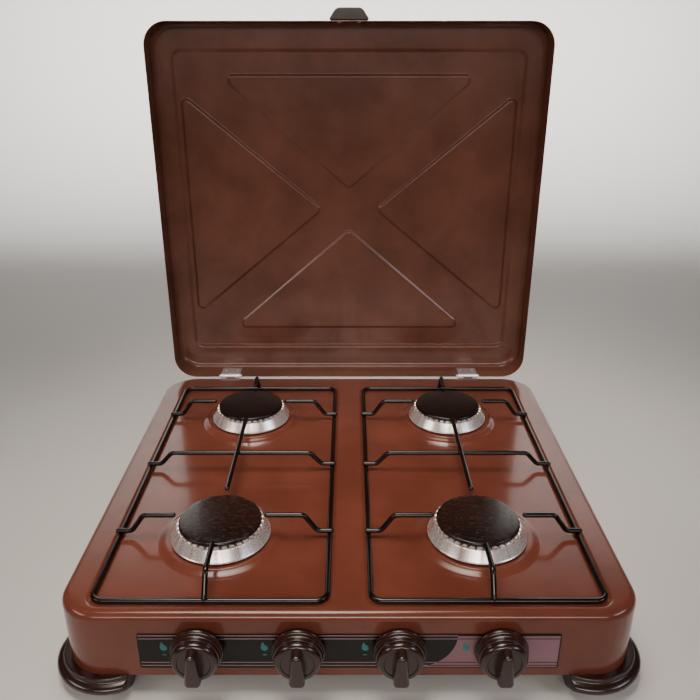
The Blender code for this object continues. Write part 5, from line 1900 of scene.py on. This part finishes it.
    def flame_marks(self) -> None:
        """Print a plain flame mark and a short bar to the left of each knob, at its full setting."""
        bm = bmesh.new()
        half_x = self.flame_width / 2
        half_y = self.flame_height / 2
        drop = self.axis_level - self.strip_level
        corners = [Vector((across * half_x, up * half_y, 0)) for across, up in self.flame_shape]
        outline = [(point.x, point.y) for point in eased_path(corners, self.flame_corner, 4, closed=True)]
        for burner in Burner:
            mark = bmesh.new()
            face = outline_face(mark, outline, 0.0)
            made = bmesh.ops.extrude_face_region(mark, geom=[face], use_keep_orig=True)["geom"]
            verts = [item for item in made if isinstance(item, BMVert)]
            bmesh.ops.translate(mark, vec=(0, 0, 2 * self.print_height), verts=verts)
            bmesh.ops.recalc_face_normals(mark, faces=mark.faces)
            place = (burner.knob_x - self.flame_offset, drop + self.flame_rise, 0)
            joined(bm, mark, Matrix.Translation(place))
            soft_block(
                bm,
                (self.bar_width, self.bar_height, 2 * self.print_height),
                Vector((burner.knob_x - self.flame_offset, drop - self.bar_drop, self.print_height)),
                self.print_height / 4,
                1,
            )
        self.stand_up(bm, self.face_y)
        finished("flame_marks", bm, STRIP_TEAL, "base")

    def knob(self, burner: Burner) -> bpy.types.Object:
        """Mould a knob: a flanged drum with steps, a grooved ring and a pear-shaped grip.

        Args:
            burner: The burner that it serves.

        Returns:
            The knob.
        """
        bm = bmesh.new()
        flange = self.knob_flange
        drum = self.knob_drum
        ring_radius = self.knob_ring
        rim = self.knob_rim
        groove = self.groove_radius
        groove_level = self.groove_level
        profile = [
            (0, self.knob_face + 0.1 * MM),
            (rim - 1.0 * MM, self.knob_face + 0.1 * MM),
            (rim - 0.6 * MM, self.knob_face + 0.6 * MM),
            (rim, self.knob_face + 0.8 * MM),
            (rim + 0.7 * MM, self.knob_face + 0.6 * MM),
            *arc((rim + 0.6 * MM, self.shoulder_level), ring_radius - rim - 0.6 * MM, 68, 0, 7),
            (ring_radius - 0.2 * MM, groove_level + 0.7 * MM),
            (groove + 0.2 * MM, groove_level + 0.4 * MM),
            (groove, groove_level),
            (groove + 0.3 * MM, groove_level - 0.5 * MM),
            *arc((drum - 0.9 * MM, 15.4 * MM), 0.9 * MM, 60, 0, 3),
            (drum + 0.2 * MM, 13.6 * MM),
            (drum + 0.5 * MM, 12.4 * MM),
            (drum + 0.9 * MM, 12.1 * MM),
            (drum + 1.1 * MM, 10.6 * MM),
            (drum + 1.2 * MM, 9.2 * MM),
            (drum + 1.7 * MM, 8.8 * MM),
            (flange - 0.5 * MM, 7.4 * MM),
            *arc((flange - 0.7 * MM, 6.4 * MM), 0.7 * MM, 50, -50, 4),
            (flange - 0.6 * MM, self.knob_back),
            (self.boss_bore, self.knob_back),
            (self.boss_bore, self.boss_depth),
            (0, self.boss_depth),
        ]
        spun(bm, profile, Vector(), 96)
        self.grip(bm)
        place = Matrix.Translation((burner.knob_x, self.front_y, self.axis_level))
        bmesh.ops.transform(bm, matrix=place @ FACING_FRONT, verts=bm.verts)
        return finished(
            "pear_knob_" + burner.word,
            bm,
            DARK_PLASTIC,
            "turning_knob_" + burner.word,
            ["knob_" + burner.word],
            bend=38,
        )

    def grip(self, bm: BMesh) -> None:
        """Raise the grip from the knob's face: a pear outline whose sides draw in to a rounded front.

        Args:
            bm: The knob's mesh, which looks up.
        """
        grip = bmesh.new()
        corners = [
            Vector((self.grip_top_half, self.grip_top, 0)),
            Vector((-self.grip_top_half, self.grip_top, 0)),
            Vector((-self.grip_low_half, self.grip_low, 0)),
            Vector((self.grip_low_half, self.grip_low, 0)),
        ]
        path = eased_path(corners, self.grip_corner, 8, closed=True)
        face = outline_face(grip, [(point.x, point.y) for point in path], self.knob_face)
        sides = bmesh.ops.extrude_face_region(grip, geom=[face])["geom"]
        verts = [item for item in sides if isinstance(item, BMVert)]
        rise = self.knob_front - self.knob_face - self.grip_edge
        bmesh.ops.translate(grip, vec=(0, 0, rise), verts=verts)
        bmesh.ops.scale(grip, vec=self.grip_draft, verts=verts)
        front = next(item for item in sides if isinstance(item, BMFace))
        front.normal_update()
        inset_steps(grip, front, rounding(self.grip_edge, 6))
        bmesh.ops.recalc_face_normals(grip, faces=grip.faces)
        joined(bm, grip)


@dataclass
class CornerFeet:
    """The four flared plastic shoes that wrap the body's lower corners."""

    body_half_width: float = 280.0 * MM
    body_half_depth: float = 259.5 * MM
    body_corner: float = 42.0 * MM
    inner_run: float = 24.0 * MM
    seat: float = 20.7 * MM
    lip_top: float = 24.0 * MM
    ground_radius: float = 43.5 * MM
    widest_radius: float = 57.0 * MM
    lip_radius: float = 50.0 * MM
    end_rounding: float = 3.0 * MM
    lip_end_rounding: float = 0.7 * MM
    lip_lean: float = 1.6 * MM
    lip_edge: float = 0.6 * MM
    contour_steps: int = 30
    bend_shares: tuple[float, ...] = (0.33, 0.67, 1.0)
    recess_radius: float = 8.0 * MM
    recess_depth: float = 13.0 * MM
    mouth_chamfer: float = 0.6 * MM
    screw_hole: float = 2.3 * MM

    def build(self) -> None:
        """Build the four feet."""
        for side in Side:
            for end, sign in (("front", -1), ("back", 1)):
                self.foot(side, end, sign)

    def section(self) -> list[tuple[float, float, float]]:
        """Give the outer side of the shoe's section from the ground up to the lip.

        Returns:
            For each point its distance from the corner's axis, its height and the rounding of the ends.
        """
        wide = self.widest_radius
        lip = self.lip_radius
        soft = self.end_rounding
        lip_soft = self.lip_end_rounding
        return [
            (self.ground_radius - 0.8 * MM, 0, soft),
            (self.ground_radius, 0.7 * MM, soft),
            (self.ground_radius + 1.6 * MM, 2.2 * MM, soft),
            (self.ground_radius + 5.4 * MM, 5.2 * MM, soft),
            (wide - 3.8 * MM, 8.6 * MM, soft),
            (wide - 1.1 * MM, 11.2 * MM, soft),
            (wide, 13.6 * MM, soft),
            (wide - 0.3 * MM, 15.6 * MM, soft),
            (wide - 1.5 * MM, 17.3 * MM, soft),
            (wide - 3.6 * MM, 18.6 * MM, soft),
            (lip + 1.2 * MM, 19.4 * MM, 0.5 * soft),
            (lip + 0.3 * MM, 20.1 * MM, lip_soft),
            (lip - 0.2 * MM, 21.4 * MM, lip_soft),
            (lip - 0.4 * MM, 22.8 * MM, lip_soft),
            (lip - 0.9 * MM, 23.6 * MM, lip_soft),
            (lip - self.lip_lean, self.lip_top, lip_soft),
        ]

    def contour(self, radius: float, soft: float) -> list[Vector]:
        """Give the shoe's outline in plan at one height, from one inner end round the corner to the other.

        Args:
            radius: The outline's distance from the corner's axis.
            soft: The rounding of its two ends.

        Returns:
            The points of the outline, in the first quadrant's corner.
        """
        end = math.asin(self.inner_run / radius)
        low = soft / radius - end
        high = math.pi / 2 - low
        steps = self.contour_steps
        angles = [low + (high - low) * step / steps for step in range(steps + 1)]
        points = [Vector((math.cos(angle), math.sin(angle), 0)) * radius for angle in angles]
        tip = Vector((radius * math.cos(end), -self.inner_run, 0))
        last = tip - Vector((soft, 0, 0))
        bend = [
            points[0] * (1 - share) ** 2 + tip * 2 * share * (1 - share) + last * share**2
            for share in self.bend_shares
        ]
        return [*reversed(bend), *points, *(Vector((point.y, point.x, 0)) for point in bend)]

    def inner_outline(self, outer: Sequence[Vector]) -> list[Vector]:
        """Give the outline of the body's wall with its clearance, point for point beside the shoe's own.

        Args:
            outer: The shoe's outline at the lip.

        Returns:
            The points on the wall.
        """
        wall = self.body_corner + CLEARANCE
        points = []
        for point in outer:
            if point.y < 0:
                points.append(Vector((wall, point.y, 0)))
            elif point.x < 0:
                points.append(Vector((point.x, wall, 0)))
            else:
                points.append(point.normalized() * wall)
        return points

    def foot(self, side: Side, end: str, sign: int) -> bpy.types.Object:
        """Mould one foot as a stack of outlines, and cut the screw's recess in its sole.

        Args:
            side: The half that it stands in.
            end: The word for its end of the body.
            sign: That end's sign along Y.

        Returns:
            The foot.
        """
        bm = bmesh.new()
        loops = [
            [bm.verts.new(point + Vector((0, 0, height))) for point in self.contour(radius, soft)]
            for radius, height, soft in self.section()
        ]
        lip = self.inner_outline(self.contour(self.lip_radius - self.lip_lean, self.lip_end_rounding))
        for height in (self.lip_top - self.lip_edge, self.seat):
            loops.append([bm.verts.new(point + Vector((0, 0, height))) for point in lip])
        for lower, upper in zip(loops, loops[1:]):
            for index in range(len(lower) - 1):
                bm.faces.new((lower[index], lower[index + 1], upper[index + 1], upper[index]))
        back = Vector((-self.inner_run, -self.inner_run, 0))
        sole_corner = bm.verts.new(back)
        seat_corner = bm.verts.new(back + Vector((0, 0, self.seat)))
        for at, order in ((0, 1), (-1, -1)):
            column = [loop[at] for loop in loops]
            bm.faces.new([sole_corner, *column, seat_corner][::order])
        sole = self.sheet_edges(bm, [*loops[0], sole_corner])
        seat = self.sheet_edges(bm, [*loops[-1], seat_corner])
        self.recess(bm, sole, seat)
        bmesh.ops.recalc_face_normals(bm, faces=bm.faces)
        middle = Vector(
            (
                side.value * (self.body_half_width - self.body_corner),
                sign * (self.body_half_depth - self.body_corner),
                0,
            )
        )
        place = Matrix.Translation(middle) @ Matrix.Diagonal((side.value, sign, 1, 1))
        bmesh.ops.transform(bm, matrix=place, verts=bm.verts)
        bmesh.ops.recalc_face_normals(bm, faces=bm.faces)
        word = f"{end}_{side.word}"
        return finished("shoe_" + word, bm, DARK_PLASTIC, "base", ["foot_" + word], bend=40)

    @staticmethod
    def sheet_edges(bm: BMesh, verts: Sequence[BMVert]) -> list[BMEdge]:
        """Find or make the edges that run round a row of vertices.

        Args:
            bm: The mesh that holds them.
            verts: The vertices in order.

        Returns:
            The edges.
        """
        pairs = zip(verts, [*verts[1:], verts[0]])
        return [bm.edges.get(pair) or bm.edges.new(pair) for pair in pairs]

    def recess(self, bm: BMesh, sole: list[BMEdge], seat: list[BMEdge]) -> None:
        """Sink the screw's recess in the sole and carry its hole up to the seat.

        Args:
            bm: The foot's mesh.
            sole: The edges round the sole.
            seat: The edges round the seat.
        """
        chamfer = self.mouth_chamfer
        wide = self.recess_radius + chamfer
        mouth = ring(bm, wide, Vector(), 36)
        fill_between(bm, [sole, mouth], Vector((0, 0, -1)))
        steps = [(chamfer, chamfer), (0, self.recess_depth - chamfer)]
        roof = drawn_ring(bm, mouth, Vector(), steps, wide)
        hole = drawn_ring(
            bm,
            roof,
            Vector(),
            [(self.recess_radius - self.screw_hole, 0), (0, self.seat - self.recess_depth)],
            self.recess_radius,
        )
        fill_between(bm, [seat, hole], Vector((0, 0, 1)))


@dataclass
class PlainParts:
    """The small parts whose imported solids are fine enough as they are: each gets its metal's finish."""

    finishes: tuple[tuple[str, str], ...] = (
        ("gas_rail", "zinc"),
        ("gas_inlet_tail", "brass"),
        ("rail_bracket", "zinc"),
        ("tap_body", "brass"),
        ("tap_plug", "brass"),
        ("tap_spindle", "brass"),
        ("feed_tube", "tube"),
        ("injector_holder", "zinc"),
        ("injector", "brass"),
        ("foot_screw", "zinc"),
        ("hinge_pin", "zinc"),
        ("lid_leaf", "zinc"),
        ("body_leaf", "zinc"),
    )

    def build(self) -> None:
        """Give every part its finish, by the longest name that it starts with."""
        metals = {"zinc": ZINC_STEEL, "brass": TURNED_BRASS, "tube": ALUMINIUM_TUBE}
        starts = sorted(self.finishes, key=lambda pair: -len(pair[0]))
        count = 0
        for piece in sorted(bpy.data.objects, key=lambda item: item.name):
            metal = next((metals[word] for start, word in starts if piece.name.startswith(start)), None)
            if metal is None or piece.type != "MESH":
                continue
            for slot in piece.material_slots:
                slot.link = "OBJECT"
                slot.material = metal.material()
            count += 1
        LOG.info("plain_parts: %d packed solids have their finish", count)


@dataclass
class SoftBox:
    """One soft studio light: where it stands, where it points, its size and its strength."""

    name: str
    place: tuple[float, float, float]
    aim: tuple[float, float, float]
    width: float
    height: float
    power: float
    spread: float = 180.0
    colour: str = "#ffffff"

    def build(self) -> bpy.types.Object:
        """Hang the light.

        Returns:
            The light.
        """
        data = bpy.data.lights.new(self.name, "AREA")
        data.shape = "RECTANGLE"
        data.size = self.width
        data.size_y = self.height
        data.energy = self.power
        data.spread = math.radians(self.spread)
        data.color = linear(self.colour)[:3]
        light = bpy.data.objects.new(self.name, data)
        light.visible_camera = False
        light.location = self.place
        light.rotation_euler = (Vector(self.aim) - Vector(self.place)).to_track_quat("-Z", "Y").to_euler()
        bpy.context.scene.collection.objects.link(light)
        return light


@dataclass
class Studio:
    """The pale paper sweep, the soft lights and the camera at the photograph's place."""

    floor_half_width: float = 5.0
    floor_front: float = -3.0
    wall_y: float = 2.2
    wall_height: float = 3.2
    sweep_radius: float = 0.9
    camera_place: tuple[float, float, float] = (0.0, -0.791, 0.591)
    camera_fall: float = 22.93
    focal_pixels: float = 735.45
    frame_pixels: float = 700.0
    sight_pixels: tuple[float, float] = (349.11, 347.59)
    sensor: float = 36.0
    clip: tuple[float, float] = (0.01, 50.0)
    world_colour: str = "#dcdde0"
    world_strength: float = 0.06
    world_seen: float = 0.4

    def build(self) -> None:
        """Build the sweep, the lights and the camera."""
        self.sweep()
        self.lights()
        self.camera()

    def sweep(self) -> None:
        """Roll out the paper: a floor that curves up into a wall."""
        bm = bmesh.new()
        section = [(self.floor_front, 0.0), (self.wall_y - self.sweep_radius, 0.0)]
        section += [
            (self.wall_y + across, self.sweep_radius + up)
            for across, up in arc((-self.sweep_radius, 0.0), self.sweep_radius, -82, 0, 12)
        ]
        section.append((self.wall_y, self.wall_height))
        rows = [
            [bm.verts.new((sign * self.floor_half_width, y, z)) for y, z in section] for sign in (-1, 1)
        ]
        for index in range(len(section) - 1):
            bm.faces.new((rows[0][index], rows[1][index], rows[1][index + 1], rows[0][index + 1]))
        mesh = bpy.data.meshes.new("paper_sweep")
        bm.to_mesh(mesh)
        bm.free()
        mesh.shade_smooth()
        mesh.materials.append(PAPER.material())
        paper = bpy.data.objects.new("paper_sweep", mesh)
        bpy.context.scene.collection.objects.link(paper)

    def lights(self) -> None:
        """Hang a narrow key above, a low box in front, a weak box at each side and one for the backdrop.

        The room past the paper's edges is dim where it lights the cooker and pale where it is looked at.
        """
        middle = (0.0, 0.0, 0.15)
        for light in (
            SoftBox("key_light", (-0.1, 0.05, 1.45), (0.0, 0.0, 0.1), 1.1, 0.7, 3.1, 50.0, "#fff2e6"),
            SoftBox("front_box", (0.0, -2.2, 1.1), (0.0, 0.0, 0.2), 2.6, 0.5, 5.4, 60.0, "#fff4ec"),
            SoftBox("left_box", (-2.0, -1.0, 1.3), middle, 1.2, 0.45, 1.5, 60.0, "#fff4ec"),
            SoftBox("right_box", (2.0, -1.0, 1.3), middle, 1.2, 0.45, 1.5, 60.0, "#eef3ff"),
            SoftBox("backdrop_light", (0.0, 1.3, 2.7), (0.0, 2.2, 1.0), 3.2, 0.4, 75.0, 60.0),
        ):
            light.build()
        world = bpy.data.worlds.new("studio_room")
        world.use_nodes = True
        tree = world.node_tree
        seen = add_node(tree, "ShaderNodeLightPath").outputs["Is Camera Ray"]
        strength = add_node(
            tree,
            "ShaderNodeMapRange",
            {"Value": seen, "To Min": self.world_strength, "To Max": self.world_seen},
        )
        background = tree.nodes["Background"]
        background.inputs["Color"].default_value = linear(self.world_colour)
        tree.links.new(strength.outputs["Result"], background.inputs["Strength"])
        bpy.context.scene.world = world

    def camera(self) -> None:
        """Set the camera where the photograph was taken, with its lens and its small shift."""
        data = bpy.data.cameras.new("photo_camera")
        data.sensor_width = self.sensor
        data.lens = self.focal_pixels * self.sensor / self.frame_pixels
        half = self.frame_pixels / 2
        data.shift_x = (half - self.sight_pixels[0]) / self.frame_pixels
        data.shift_y = (self.sight_pixels[1] - half) / self.frame_pixels
        data.clip_start, data.clip_end = self.clip
        camera = bpy.data.objects.new("photo_camera", data)
        camera.location = self.camera_place
        camera.rotation_euler = (math.radians(90 - self.camera_fall), 0, 0)
        bpy.context.scene.collection.objects.link(camera)
        bpy.context.scene.camera = camera


def main() -> None:
    """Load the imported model, build each sub-assembly over it and light the studio."""
    logging.basicConfig(level=logging.INFO, format="%(name)s: %(message)s")
    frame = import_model()
    EnamelledTub().build()
    PressedLid().build()
    BurnerSet().build()
    for side in Side:
        PanSupport(side).build()
    ControlFront().build()
    CornerFeet().build()
    PlainParts().build()
    Studio().build()
    bpy.context.view_layer.update()


if __name__ == "__main__":
    main()
